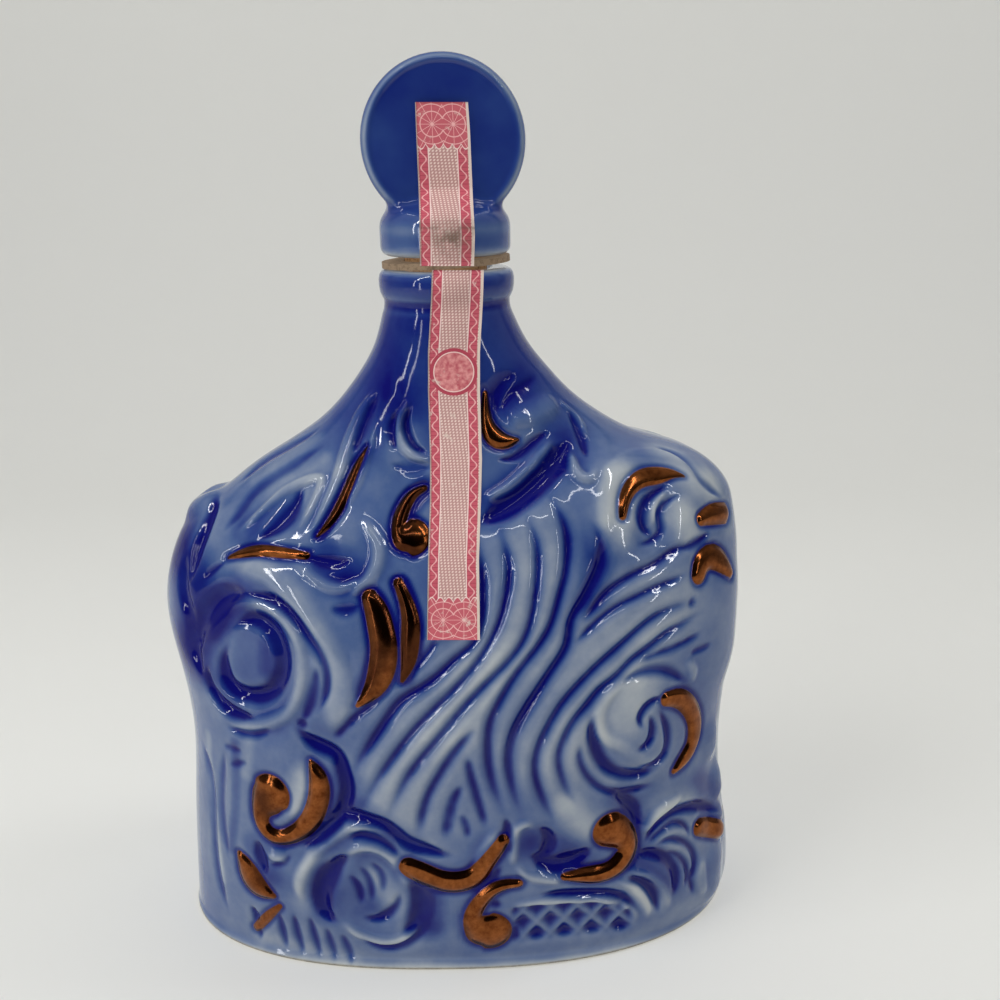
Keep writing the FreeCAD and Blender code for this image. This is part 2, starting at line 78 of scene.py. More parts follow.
# Height, left, right and front reach below the shoulder, and then from the shoulder to the neck.
BODY_SHARES = [
    (0.000, 1.000, 1.000, 1.000),
    (0.130, 0.986, 0.995, 1.032),
    (0.330, 0.963, 0.952, 1.044),
    (0.490, 0.948, 0.946, 1.037),
    (0.640, 0.972, 0.966, 1.012),
    (0.790, 1.000, 0.978, 0.960),
    (0.910, 0.960, 0.973, 0.880),
    (1.000, 0.875, 0.952, 0.780),
]
SHOULDER_SHARES = [
    (0.110, 0.715, 0.910, 0.535),
    (0.210, 0.608, 0.840, 0.430),
    (0.300, 0.497, 0.710, 0.345),
    (0.380, 0.390, 0.510, 0.280),
    (0.470, 0.285, 0.375, 0.215),
    (0.590, 0.185, 0.245, 0.140),
    (0.720, 0.102, 0.145, 0.078),
    (0.860, 0.036, 0.056, 0.025),
    (1.000, 0.000, 0.000, 0.000),
]

# Mesh of the bottle: distance between its points, how far the glaze lies inside the solid before the relief
# is raised on it, at the sides and at the front, and the height over which that dies out at foot and neck.
SPACING = 0.52
SIDE_INSET = 0.3
FRONT_INSET = 1.6
FOOT_FADE = 3.0
NECK_FADE = 22.0

# Rolled collar and mouth: height and radius, and how dark the glaze is on the first of these rings.
COLLAR = [
    (163.0, 15.45), (164.2, 15.25), (165.4, 15.3), (166.2, 15.75), (167.2, 16.15), (168.6, 16.35),
    (170.2, 16.35), (171.3, 16.1), (172.1, 15.5), (172.45, 14.7), (172.5, 13.6), (172.5, 11.6),
    (172.4, 10.8), (172.0, 10.25), (171.2, 10.0), (160.0, 10.0),
]
COLLAR_TONES = [0.78, 0.95, 0.92, 0.62, 0.72, 0.80, 0.80, 0.7, 0.40, 0.12]

# Tone of the glaze, from 0 for pale to 1 for dark: on the wall, added where a groove is dark, on the neck
# with its share, where that begins and the height it takes, taken off at the foot's edge, and on the
# underside and inside. Then how often the relief is averaged with its neighbours to find hollows, and what
# each adds.
WALL_TONE = 0.50
GROOVE_TONE = 0.34
NECK_TONE = 0.88
NECK_TONE_SHARE = 0.8
NECK_TONE_FROM = 126
NECK_TONE_RISE = 26
EDGE_TONE = 0.26
UNDERSIDE_TONE = 0.3
INSIDE_TONE = 0.15
HOLLOW_PASSES = [(10, 0.36), (60, 0.20), (400, 0.10)]

# How boxy the oval plan is, at the left and the right of the foot and at the neck: 2 is an ellipse.
FOOT_POWERS = (2.5, 2.25)
NECK_POWER = 2.0

# How much stronger than traced the grooves, the ridges and the copper scrolls are moulded.
GROOVE_GAIN = 1.5
RIDGE_GAIN = 1.7
COPPER_GAIN = 1.35

# Broad swells and hollows under the finer relief: half width in pixels, height in millimetres, and a route,
# which is pixels across and below in turn.
MASSES = [
    (72, -1.6, 246, 640, 250, 690),
    (42, -1.3, 212, 585, 196, 640),
    (46, -1.2, 366, 880, 371, 912),
    (36, -0.8, 328, 560, 345, 574),
    (62, 0.9, 640, 705, 640, 755),
    (36, 0.9, 612, 530, 612, 480, 640, 462, 692, 470),
    (30, -1.0, 664, 512, 655, 532),
    (42, -1.0, 470, 510, 530, 475, 572, 432),
    (44, 0.8, 300, 590, 330, 640, 338, 700),
    (40, -1.0, 318, 752, 342, 795, 300, 850),
    (60, 0.8, 380, 800, 430, 740, 490, 670, 530, 600, 530, 540),
    (50, 0.6, 560, 760, 580, 690, 640, 620, 680, 590),
    (34, -0.8, 540, 850, 590, 862),
    (40, -0.9, 640, 800, 640, 850),
    (34, 0.6, 380, 460, 350, 520),
    (40, -0.7, 250, 500, 230, 540),
    (34, -0.9, 500, 395, 520, 385),
    (30, 0.6, 680, 515, 690, 530),
    (30, -0.8, 425, 905, 430, 930),
]

# Knobs that stand out of the outline, in the same form.
KNOBS = [
    (24, 1.7, 196, 504, 206, 500),
    (60, 1.5, 727, 600, 727, 645),
    (24, 1.3, 712, 736, 712, 744),
    (22, 1.6, 716, 776, 717, 786),
    (26, 1.5, 718, 818, 718, 828),
    (30, 1.2, 716, 862, 714, 885),
]

# Washes of glaze: half width in pixels, how much darker or paler the glaze lies there, route.
WASHES = [
    (54, 0.60, 176, 545, 190, 600, 186, 650),
    (32, 0.45, 230, 596, 205, 622),
    (24, 0.30, 205, 680, 228, 712),
    (20, 0.30, 264, 648, 264, 674),
    (28, 0.18, 322, 562, 345, 574),
    (34, 0.28, 250, 525, 285, 505),
    (44, 0.42, 392, 395, 400, 345, 405, 310),
    (56, 0.12, 330, 440, 395, 425),
    (11, 0.60, 364, 450, 345, 490, 318, 532),
    (18, 0.55, 422, 488, 404, 512, 408, 545),
    (18, 0.45, 372, 602, 382, 640, 366, 690),
    (14, 0.65, 400, 586, 411, 630, 404, 678),
    (18, 0.40, 262, 798, 264, 812),
    (62, 0.14, 250, 610, 270, 700),
    (60, 0.12, 290, 895, 390, 900),
    (34, 0.35, 505, 400, 525, 378),
    (34, 0.30, 495, 508, 540, 476, 572, 436),
    (26, 0.30, 603, 545, 592, 600),
    (34, 0.30, 342, 795, 322, 842),
    (26, 0.35, 322, 885, 322, 915),
    (28, 0.40, 424, 898, 424, 930),
    (30, 0.32, 540, 848, 575, 866),
    (28, 0.30, 648, 862, 676, 884),
    (26, 0.30, 622, 800, 642, 826),
    (50, -0.12, 620, 500, 690, 500),
    (26, 0.28, 255, 850, 262, 878),
    (22, 0.28, 360, 815, 410, 848),
    (34, -0.07, 640, 640, 715, 620),
    (24, 0.25, 700, 780, 720, 800),
    (30, -0.08, 238, 566, 292, 592, 326, 650, 336, 705),
    (10, -0.20, 206, 736, 210, 800, 220, 880),
    (10, 0.22, 232, 745, 233, 800, 228, 850),
    (12, -0.16, 246, 742, 243, 775),
    (44, -0.12, 425, 740, 500, 670),
    (70, -0.13, 400, 800, 440, 740, 500, 670, 530, 600, 530, 530),
    (56, -0.13, 560, 780, 580, 690, 640, 620, 700, 590),
    (30, -0.30, 622, 476, 612, 535),
    (34, -0.30, 668, 452, 705, 482),
    (42, -0.28, 636, 690, 622, 725),
    (26, -0.30, 372, 885, 392, 906),
    (26, -0.30, 588, 832, 568, 812),
    (30, -0.22, 548, 408, 522, 424),
    (22, -0.28, 300, 780, 296, 812),
    (26, -0.25, 300, 862, 300, 905),
    (30, -0.05, 228, 790, 224, 860),
    (24, -0.25, 640, 895, 660, 905),
    (44, -0.10, 235, 520, 320, 450),
    (12, -0.16, 322, 456, 292, 478, 262, 500, 240, 530),
    (10, -0.14, 318, 436, 286, 456, 252, 478),
    (26, -0.20, 330, 470, 300, 500),
    (26, -0.20, 716, 480, 730, 520),
    (20, -0.16, 262, 942, 330, 962, 420, 972, 560, 966, 640, 940, 700, 900),
    (26, -0.20, 405, 430, 400, 450),
    (26, -0.22, 685, 515, 690, 530),
    (24, -0.20, 656, 815, 690, 800),
]

# Sharp valleys between the S-shaped ribs, from left to right: half width in pixels, depth in millimetres,
# darkness of the glaze that pools there, route.
VALLEYS = [
    (12, 1.5, 0.66, 478, 540, 482, 572, 483, 600, 481, 627, 473, 646, 457, 660, 440, 676, 423, 689, 400,
     704, 387, 720, 373, 741, 359, 762, 349, 782),
    (12, 1.5, 0.66, 499, 524, 506, 547, 510, 570, 507, 597, 503, 614, 491, 643, 475, 668, 457, 689, 437,
     709, 411, 736, 393, 759, 375, 785, 360, 812),
    (12, 1.5, 0.66, 524, 508, 533, 528, 538, 547, 539, 575, 536, 600, 530, 628, 521, 648, 502, 671, 480,
     693, 458, 717, 439, 740, 422, 760, 407, 780, 396, 801, 387, 822),
    (12, 1.5, 0.66, 549, 492, 561, 513, 568, 534, 569, 557, 566, 578, 560, 600, 553, 624, 545, 640, 532,
     658, 517, 677, 502, 701, 491, 724, 488, 752, 491, 780, 497, 800, 506, 821),
    (12, 1.6, 0.76, 592, 520, 602, 540, 603, 560, 594, 584, 583, 604, 573, 622, 569, 645, 557, 667, 543,
     688, 527, 713, 514, 738, 509, 762, 511, 783, 517, 805, 522, 818),
    (10, 1.4, 0.62, 475, 731, 461, 747, 450, 761, 438, 780, 428, 798, 422, 816, 418, 840),
    (9, 1.3, 0.62, 467, 760, 470, 777, 475, 795, 480, 812, 486, 831),
    (9, 1.3, 0.62, 461, 789, 453, 806, 448, 824, 444, 843),
    (6, 0.9, 0.70, 461, 819, 466, 831, 468, 842),
    (8, 0.9, 0.50, 437, 640, 423, 660, 410, 676),
    (11, 1.4, 0.50, 697, 543, 678, 550, 658, 564, 638, 574, 620, 585, 606, 597, 594, 612, 583, 625),
    (11, 1.3, 0.48, 690, 572, 677, 580, 658, 588, 640, 597, 622, 606, 605, 618, 590, 632, 574, 648),
    (12, 1.5, 0.56, 698, 600, 680, 606, 658, 617, 638, 633, 620, 649, 601, 666, 583, 684, 567, 702, 551,
     727, 541, 748, 536, 771, 540, 792, 549, 813, 558, 830),
    (11, 1.4, 0.54, 703, 612, 684, 625, 669, 635, 650, 650, 634, 662, 618, 678, 600, 693, 588, 708, 575,
     724, 565, 743, 560, 760, 563, 779, 570, 796, 580, 808),
    (8, 1.0, 0.48, 703, 633, 694, 639, 680, 647, 660, 655, 640, 664),
    (7, 0.8, 0.50, 711, 644, 703, 649, 693, 654),
    (9, 1.2, 0.60, 582, 745, 581, 758, 585, 772, 593, 783, 604, 791, 620, 795, 641, 792, 657, 786),
    (9, 1.2, 0.60, 381, 694, 372, 705, 356, 717, 342, 731, 331, 743),
]

# Soft grooves of the relief, in the same form.
GROOVES = [
    # Volute at the right.
    (9, 1.3, 0.80, 596, 715, 594, 730, 597, 748, 604, 763, 616, 773, 632, 776, 648, 774, 661, 768),
    (6, 1.0, 0.70, 658, 708, 667, 724, 670, 741, 667, 754, 659, 763, 646, 768, 635, 766),
    (6, 1.2, 0.80, 665, 697, 652, 704, 644, 713, 641, 722, 645, 730),
    (6, 1.1, 0.80, 650, 715, 654, 727, 653, 738, 647, 747, 636, 751),
    (9, 1.4, 0.95, 617, 797, 631, 806, 640, 817, 643, 830),
    (8, 0.8, 0.50, 622, 684, 645, 673, 672, 673, 690, 684),
    # Large swirl at the left.
    (10, 1.5, 1.00, 228, 628, 243, 621, 258, 625, 270, 637, 276, 652, 278, 668, 275, 682, 266, 694, 252,
     700, 237, 698, 224, 688, 218, 674, 218, 658, 222, 645),
    (8, 1.5, 1.00, 203, 668, 206, 686, 216, 704, 230, 716, 250, 722),
    (14, 1.2, 1.00, 240, 592, 214, 598, 198, 616, 191, 634, 194, 656),
    (7, 1.2, 0.60, 240, 594, 260, 598, 279, 606, 294, 620, 307, 636, 318, 652, 325, 668, 326, 684, 321, 703,
     313, 717),
    (8, 0.7, 0.70, 314, 668, 313, 690, 306, 712, 298, 726),
    (6, 0.8, 1.00, 293, 727, 304, 727),
    (6, 0.8, 0.35, 224, 729, 246, 736, 269, 731),
    (9, 1.5, 0.95, 290, 728, 303, 742, 318, 752, 331, 759, 340, 776, 344, 793, 341, 811, 333, 827, 322, 838,
     308, 847, 294, 851),
    (10, 0.9, 0.90, 186, 550, 181, 582, 183, 603, 187, 625, 189, 646, 196, 668, 204, 683),
    (4, 0.4, 0.50, 199, 579, 209, 569, 221, 561),
    (5, 0.5, 0.35, 221, 747, 239, 753),
    (5, 0.5, 0.40, 227, 766, 244, 764),
    (8, 0.6, 0.45, 329, 609, 346, 611, 358, 606),
    # Left shoulder.
    (10, 1.3, 1.00, 217, 494, 208, 515, 200, 535, 192, 557, 185, 585),
    (8, 0.40, 0.40, 322, 444, 300, 458, 275, 474, 252, 490, 236, 510, 220, 530),
    (8, 0.35, 0.32, 318, 428, 292, 444, 262, 462, 236, 484),
    (12, 0.9, 0.75, 300, 486, 292, 505, 278, 522, 255, 538),
    (9, 0.5, 0.60, 376, 394, 366, 412, 358, 432, 352, 452),
    (7, 0.6, 0.60, 302, 556, 327, 562, 348, 560),
    # Below the neck.
    (5, 0.9, 0.80, 409, 407, 404, 420, 406, 434, 414, 446, 426, 452),
    (7, 0.8, 0.60, 393, 411, 390, 430, 394, 449),
    (8, 0.3, 0.40, 390, 464, 410, 468, 430, 467),
    (8, 0.05, 0.50, 382, 402, 386, 385, 389, 368),
    (7, 0.05, 0.50, 401, 396, 399, 380, 398, 362),
    (10, 0.7, 1.00, 519, 371, 504, 382, 497, 397, 500, 412),
    (6, 0.5, 0.80, 539, 373, 527, 384, 516, 391, 508, 401, 503, 410),
    (6, 0.8, 0.80, 552, 428, 536, 439, 524, 449, 512, 456, 498, 458),
    (14, 1.5, 0.95, 572, 438, 557, 460, 540, 480, 517, 500, 494, 514, 478, 522),
    (6, 0.8, 0.60, 569, 406, 583, 428, 588, 454),
    # Right shoulder.
    (9, 1.0, 0.50, 672, 484, 654, 494, 645, 510, 648, 528, 657, 537),
    (5, 0.7, 0.28, 684, 493, 669, 502, 663, 515, 665, 529, 655, 541, 640, 545),
    (7, 0.9, 0.60, 712, 533, 697, 543, 680, 550),
    (6, 0.7, 0.60, 697, 599, 690, 606),
    (7, 0.7, 0.45, 655, 446, 672, 451, 687, 462, 700, 478, 715, 490, 726, 500),
    # Waves along the foot, from left to right.
    (9, 1.5, 0.95, 316, 830, 330, 822, 345, 820, 362, 823, 379, 827, 391, 835, 405, 847, 422, 854, 438, 858,
     452, 861),
    (10, 0.9, 0.60, 346, 843, 363, 840, 384, 849, 399, 861),
    (13, 1.7, 1.00, 346, 859, 327, 878, 318, 900, 323, 917, 335, 927),
    (6, 0.9, 0.55, 399, 898, 396, 911, 388, 920, 376, 926, 362, 924),
    (5, 0.7, 0.40, 346, 881, 356, 894, 359, 911),
    (5, 0.7, 0.40, 357, 873, 367, 889, 370, 909),
    (5, 0.7, 0.35, 368, 869, 379, 881, 381, 900),
    (13, 1.2, 1.00, 408, 886, 420, 904, 416, 926, 402, 940),
    (6, 0.9, 0.60, 358, 940, 374, 950, 389, 953, 406, 949, 420, 938, 430, 924),
    (6, 0.8, 0.40, 275, 914, 279, 932, 285, 952),
    (6, 0.8, 0.40, 291, 917, 295, 938, 302, 958),
    (6, 0.8, 0.45, 307, 920, 312, 940, 319, 961),
    (6, 0.7, 0.35, 324, 931, 329, 948, 335, 964),
    (6, 0.7, 0.35, 340, 938, 346, 953, 352, 967),
    (8, 1.2, 1.00, 254, 843, 258, 862, 264, 877),
    (7, 1.0, 0.80, 248, 908, 254, 922, 258, 942),
    (5, 0.6, 0.35, 268, 868, 277, 867, 287, 860),
    (7, 0.6, 0.30, 200, 740, 208, 775, 211, 815, 213, 855, 219, 890, 227, 915),
    (8, 0.5, 0.25, 222, 750, 219, 790, 221, 830, 226, 860),
    (6, 0.8, 0.70, 502, 871, 493, 884, 480, 894, 470, 898),
    (6, 1.0, 0.90, 506, 822, 509, 840, 511, 858),
    (8, 1.2, 0.95, 541, 832, 550, 840, 551, 852, 543, 862, 531, 862),
    (13, 1.2, 0.90, 533, 864, 552, 870, 574, 867, 594, 853),
    (6, 0.8, 0.80, 491, 910, 501, 909),
    (7, 0.9, 0.90, 514, 932, 517, 945),
    (8, 1.2, 0.90, 649, 846, 662, 827, 681, 813, 703, 807, 719, 810),
    (6, 1.0, 0.60, 652, 847, 666, 833, 681, 824, 690, 829, 692, 840),
    (6, 1.0, 0.60, 658, 850, 674, 841, 688, 844, 697, 856, 697, 871, 692, 887),
    (6, 1.0, 0.60, 666, 853, 681, 857, 690, 869, 687, 890),
    (9, 1.2, 0.75, 640, 858, 658, 856, 672, 862, 679, 877, 676, 897),
    (9, 1.1, 0.75, 629, 881, 646, 886, 657, 899, 661, 915),
    (7, 1.0, 0.75, 540, 899, 570, 898, 600, 897, 620, 899, 633, 906, 642, 916),
    (5, 0.7, 0.50, 697, 866, 693, 880, 696, 895),
]

# Ridges of the relief: half width in pixels, height in millimetres, route.
RIDGES = [
    (16, 0.8, 228, 563, 257, 569, 284, 587, 303, 610, 318, 636, 333, 665, 338, 690, 334, 715, 322, 735),
    (9, 0.7, 222, 609, 246, 603, 269, 611, 286, 627, 296, 646, 299, 669, 296, 693, 284, 716, 262, 727, 240,
     729, 222, 720),
    (7, 0.8, 406, 401, 399, 416, 397, 431, 402, 445, 413, 456, 430, 460),
    (6, 0.7, 373, 424, 370, 443, 363, 464, 355, 486, 345, 507),
    (9, 0.9, 373, 390, 361, 408, 351, 430, 345, 446, 338, 472, 327, 500, 312, 530),
    (7, 0.6, 236, 530, 265, 504, 294, 484, 319, 478, 312, 502, 296, 530),
    (9, 0.8, 556, 436, 539, 457, 527, 470, 513, 483, 497, 492, 484, 497),
    (18, 0.7, 510, 420, 535, 411, 559, 400),
    (5, 0.6, 561, 400, 573, 410, 583, 421, 589, 437),
    (8, 0.8, 572, 447, 575, 463, 581, 474, 592, 477, 597, 466),
    (11, 0.7, 608, 540, 605, 515, 606, 490, 614, 470, 632, 456, 655, 453, 678, 461, 697, 480),
    (5, 0.6, 669, 489, 659, 500, 656, 513, 658, 525),
    (8, 0.8, 622, 686, 609, 698, 601, 712, 600, 726, 606, 739, 618, 745, 633, 754, 648, 760, 659, 757),
    (10, 0.8, 300, 905, 297, 888, 305, 868, 321, 848, 342, 834, 360, 829, 376, 836),
    (8, 0.7, 341, 861, 357, 853, 375, 853, 391, 863, 403, 880, 407, 896),
    (7, 0.7, 341, 926, 353, 936, 371, 944, 389, 946, 406, 941, 418, 932),
    (7, 0.7, 296, 566, 311, 578, 331, 588, 345, 587, 360, 578),
    (9, 0.7, 360, 518, 374, 537, 377, 560, 364, 582, 345, 596),
    (6, 0.8, 513, 870, 514, 850, 517, 834, 526, 828, 536, 831),
    (6, 0.6, 517, 868, 525, 878, 540, 883, 566, 885),
    (5, 0.7, 507, 915, 522, 909, 545, 906, 575, 904, 605, 904, 625, 908, 637, 917, 634, 928),
    (9, 0.8, 646, 838, 657, 820, 672, 806, 684, 797),
    (7, 0.6, 620, 886, 637, 891, 648, 905, 650, 920),
    (6, 0.5, 633, 875, 652, 879, 666, 891, 671, 910),
    (9, 0.8, 704, 860, 702, 877, 704, 894),
    (7, 0.9, 474, 872, 486, 853, 498, 834),
    (8, 0.8, 266, 856, 274, 860, 284, 862),
    (6, 0.8, 690, 662, 695, 671, 694, 681),
]

# Scrolls raised and painted with copper lustre: height in millimetres, then pixel across, pixel below and
# half width in turn.
COPPER = [
    (1.3, 368, 598, 8, 374, 611, 11, 379, 630, 12.5, 382, 650, 13, 380, 672, 13, 373, 690, 10, 356, 708, 2),
    (1.2, 397, 583, 5, 404, 600, 6.5, 409, 620, 8.5, 409, 645, 9, 407, 665, 7, 401, 684, 2),
    (0.7, 365, 446, 1.5, 357, 461, 4, 347, 484, 5, 336, 508, 5, 324, 525, 3.5, 314, 535, 1),
    (0.8, 223, 557, 1.5, 236, 553, 4.5, 256, 550, 6, 279, 552, 5.5, 303, 555, 4),
    (1.3, 423, 487, 3, 412, 493, 5, 403, 506, 6.5, 398, 520, 7, 400, 535, 9, 410, 536, 18),
    (1.2, 487, 393, 3, 487, 409, 5, 489, 424, 7, 496, 436, 9.5, 507, 440, 7, 519, 438, 2),
    (1.2, 624, 516, 4, 626, 501, 6, 632, 487, 7.5, 644, 477, 9, 659, 474, 9, 673, 473, 5, 685, 476, 1),
    (0.9, 704, 519, 7, 716, 514, 11, 727, 513, 11),
    (1.2, 701, 575, 10, 706, 562, 12, 714, 557, 13, 722, 561, 12, 729, 572, 6),
    (1.3, 669, 700, 8, 682, 700, 10.5, 694, 711, 11, 698, 728, 11.5, 695, 745, 10.5, 687, 760, 9, 677, 772,
     4),
    (1.3, 702, 828, 10, 710, 828, 11, 718, 829, 10),
    (0.5, 722, 832, 2, 724, 815, 3, 726, 800, 3, 724, 788, 1.5),
    (1.4, 614, 834, 20, 627, 840, 15, 632, 851, 12, 627, 862, 12, 616, 872, 11, 602, 878, 10.5, 585, 880,
     8.5, 566, 881, 4),
    (1.3, 408, 871, 10, 421, 878, 12.5, 440, 886, 13, 459, 887, 12.5, 475, 881, 11, 485, 869, 9.5, 495, 856,
     8.5, 503, 845, 7),
    (1.4, 519, 888, 5, 507, 889, 6.5, 490, 897, 7.5, 478, 910, 8.5, 473, 924, 10, 480, 935, 16, 489, 937,
     24),
    (1.4, 267, 797, 22, 258, 812, 12, 262, 831, 9, 277, 841, 9, 292, 838, 10, 306, 826, 11, 314, 808, 11,
     316, 790, 10.5, 312, 775, 7, 307, 765, 2),
    (1.0, 237, 857, 5, 243, 870, 12, 250, 884, 15, 259, 893, 11, 270, 899, 4),
    (0.8, 277, 910, 3, 265, 920, 5.5, 254, 931, 5),
]

# Paper strips: width, thickness and lift off what they lie on, pixels between the rows of their mesh and
# points in a row, their edges as pixels across and below, the pixels below between which they lie, how many
# times the lower one is pulled taut over the relief, and the pixel below of the printed ring.
PAPER_WIDTH = 11.9
PAPER_THICKNESS = 0.2
PAPER_LIFT = 0.25
PAPER_STEP = 2.0
PAPER_COLUMNS = 17
UPPER_LEFT = [(415, 102), (416, 130), (419, 200), (420, 268)]
UPPER_RIGHT = [(468, 102), (470, 130), (473, 200), (475, 235), (474, 268)]
UPPER_SPAN = (102, 267)
LOWER_LEFT = [
    (432, 268), (431, 300), (428, 352), (428, 390), (430, 460), (430, 500), (428, 560), (427, 640)]
LOWER_RIGHT = [
    (484, 268), (483, 300), (480, 352), (480, 390), (482, 460), (481, 500), (479, 560), (480, 640)]
LOWER_SPAN = (270, 640)
LOWER_TAUT = 60
RING_BELOW = 372

# Stain on the upper strip, and painted shade as a dark line along a crease: pixel below and reach of each,
# the stain's middle and reach across it, and the shade's darkness as a share of the stain's.
STAIN_BELOW = 240
STAIN_REACH = 17
STAIN_ACROSS = 7.0
STAIN_HALF = 5
CREASE_SHADE_BELOW = 229
CREASE_SHADE_REACH = 2
CREASE_SHADE_SHARE = 0.8

# Stopper: fineness of its mesh, the disc's middle, radius, half thickness and dish, how far it is turned,
# and the height of its underside.
STOPPER_VOXEL = 0.45
DISC_HEIGHT = 200.94
DISC_RADIUS = 18.9
DISC_HALF = 8.0
DISH_DEPTH = 0.8
STOPPER_TURN = math.radians(5)
FOOT_UNDERSIDE = 175.54

# Tone of the stopper's glaze, and how much paler it is on bulges, on the disc's crests and below the disc.
STOPPER_TONE = 0.78
BULGE_TONE = 0.36
CREST_TONE = 0.30
LOW_TONE = 0.12

# Lattice panel above the foot: its corner pixels, one cell's middle, the cells' pitch and their depth.
LATTICE_FROM = (511, 909)
LATTICE_TO = (636, 950)
LATTICE_CELL = (538, 917)
LATTICE_PITCH = (28, 26)
LATTICE_CLIMB = 0.12
LATTICE_DEPTH = 1.0
LATTICE_DARK = 0.30

# Stage, in metres: where the pale sweep begins and bends up, the bend's radius, its top and half width.
SWEEP_NEAR = -1.2
SWEEP_BEND = 0.35
SWEEP_RADIUS = 0.35
SWEEP_TOP = 1.8
SWEEP_HALF = 1.8


def camera_axes():
    """Unit vectors of the camera: to the right, down and forward."""
    pitch = math.radians(CAMERA_PITCH)
    roll = math.radians(CAMERA_ROLL)
    forward = np.array([0.0, math.cos(pitch), -math.sin(pitch)])
    level = np.array([1.0, 0.0, 0.0])
    down = np.array([0.0, -math.sin(pitch), -math.cos(pitch)])
    right_rolled = math.cos(roll) * level + math.sin(roll) * down
    down_rolled = math.cos(roll) * down - math.sin(roll) * level
    return right_rolled, down_rolled, forward


RIGHT, DOWN, FORWARD = camera_axes()


def ray(across, below):
    """Direction in which the camera sees a pixel."""
    middle = PHOTO_SIDE / 2
    direction = FORWARD + RIGHT * (across - middle) / FOCAL + DOWN * (below - middle) / FOCAL
    return direction / np.linalg.norm(direction)


def pixels(points):
    """Pixels at which the camera sees the points."""
    apart = points - CAMERA_AT
    depth = apart @ FORWARD
    middle = PHOTO_SIDE / 2
    return middle + FOCAL * (apart @ RIGHT) / depth, middle + FOCAL * (apart @ DOWN) / depth


def cubic(knots, values, at):
    """A natural cubic spline through the values, one column each, at the places asked for."""
    count = len(knots)
    gaps = np.diff(knots)
    system = np.eye(count)
    bends = np.zeros_like(values)
    for k in range(1, count - 1):
        system[k, k - 1:k + 2] = gaps[k - 1], 2 * (gaps[k - 1] + gaps[k]), gaps[k]
        slopes = (values[k + 1] - values[k]) / gaps[k] - (values[k] - values[k - 1]) / gaps[k - 1]
        bends[k] = 6 * slopes
    bends = np.linalg.solve(system, bends)
    span = np.clip(np.searchsorted(knots, at) - 1, 0, count - 2)
    gap = gaps[span][:, None]
    ahead = (knots[span + 1] - at)[:, None]
    behind = (at - knots[span])[:, None]
    curved = (bends[span] * ahead ** 3 + bends[span + 1] * behind ** 3) / (6 * gap)
    straight = (values[span] / gap - bends[span] * gap / 6) * ahead
    return curved + straight + (values[span + 1] / gap - bends[span + 1] * gap / 6) * behind


def wall_sections():
    """Height, left, right and front reach of the bottle's sections, from the foot to the neck."""
    rows = [(rise * SHOULDER_HEIGHT, left * HALF_WIDTH, right * HALF_WIDTH, front * HALF_DEPTH)
            for rise, left, right, front in BODY_SHARES]
    for rise, left, right, front in SHOULDER_SHARES:
        rows.append((
            SHOULDER_HEIGHT + (NECK_HEIGHT - SHOULDER_HEIGHT) * rise,
            NECK_RADIUS + (HALF_WIDTH - NECK_RADIUS) * left,
            NECK_RADIUS + (HALF_WIDTH - NECK_RADIUS) * right,
            NECK_RADIUS + (HALF_DEPTH - NECK_RADIUS) * front,
        ))
    return np.array(rows)


def even_rows(sections, spacing):
    """Sections laid along a smooth spline through the given ones, about that far apart on the wall."""
    knots = np.concatenate([[0], np.cumsum(np.linalg.norm(np.diff(sections, axis=0), axis=1))])
    fine = cubic(knots, sections, np.linspace(0, knots[-1], 4000))
    steps = np.abs(np.diff(fine, axis=0))
    length = np.concatenate([[0], np.cumsum(np.hypot(steps[:, 0], steps[:, 1:].max(axis=1)))])
    places = np.linspace(0, length[-1], int(length[-1] / spacing))
    return np.stack([np.interp(places, length, column) for column in fine.T], axis=1)


def even_angles(spacing):
    """Angles round the oval foot, even along its rim, from the left end over the front and back again."""
    fine = np.linspace(math.pi, 2 * math.pi, 4000)
    steps = np.hypot(np.diff(HALF_WIDTH * np.cos(fine)), np.diff(HALF_DEPTH * np.sin(fine)))
    length = np.concatenate([[0], np.cumsum(steps)])
    half = np.interp(np.linspace(0, length[-1], int(length[-1] / spacing)), length, fine)
    return half, np.concatenate([half, 3 * math.pi - half[-2:0:-1] + math.pi])


def bowed(values, power):
    """Sines or cosines bent so that an oval becomes boxier as the power grows over 2."""
    return np.sign(values) * np.abs(values) ** (2 / power)


def rings(rows, angles):
    """Points of oval sections, as rows of rings, boxy at the foot and round at the neck."""
    height, left, right, front = (rows[:, k:k + 1] for k in range(4))
    boxy = np.where(np.cos(angles) < 0, *FOOT_POWERS)[None, :]
    power = boxy + (NECK_POWER - boxy) * ease(height / SHOULDER_HEIGHT)
    across = (right - left) / 2 + (right + left) / 2 * bowed(np.cos(angles)[None, :], power)
    along = front * bowed(np.sin(angles)[None, :], power)
    return np.stack([across, along, np.broadcast_to(height, across.shape)], axis=2)


def unit(vectors):
    """Vectors brought to length one."""
    return vectors / np.linalg.norm(vectors, axis=-1, keepdims=True)


def outward(grid):
    """Normals of a grid of rings that closes round the bottle, pointing out of it."""
    round_it = np.roll(grid, -1, axis=1) - np.roll(grid, 1, axis=1)
    up_it = np.gradient(grid, axis=0)
    return unit(np.cross(round_it, up_it))


def grid_faces(rows, columns, closed):
    """Quads of a grid of points, closed round the columns or not."""
    last = columns if closed else columns - 1
    row, column = np.meshgrid(np.arange(rows - 1), np.arange(last), indexing="ij")
    following = (column + 1) % columns
    corners = [row * columns + column, row * columns + following,
               (row + 1) * columns + following, (row + 1) * columns + column]
    return np.stack(corners, axis=2).reshape(-1, 4)


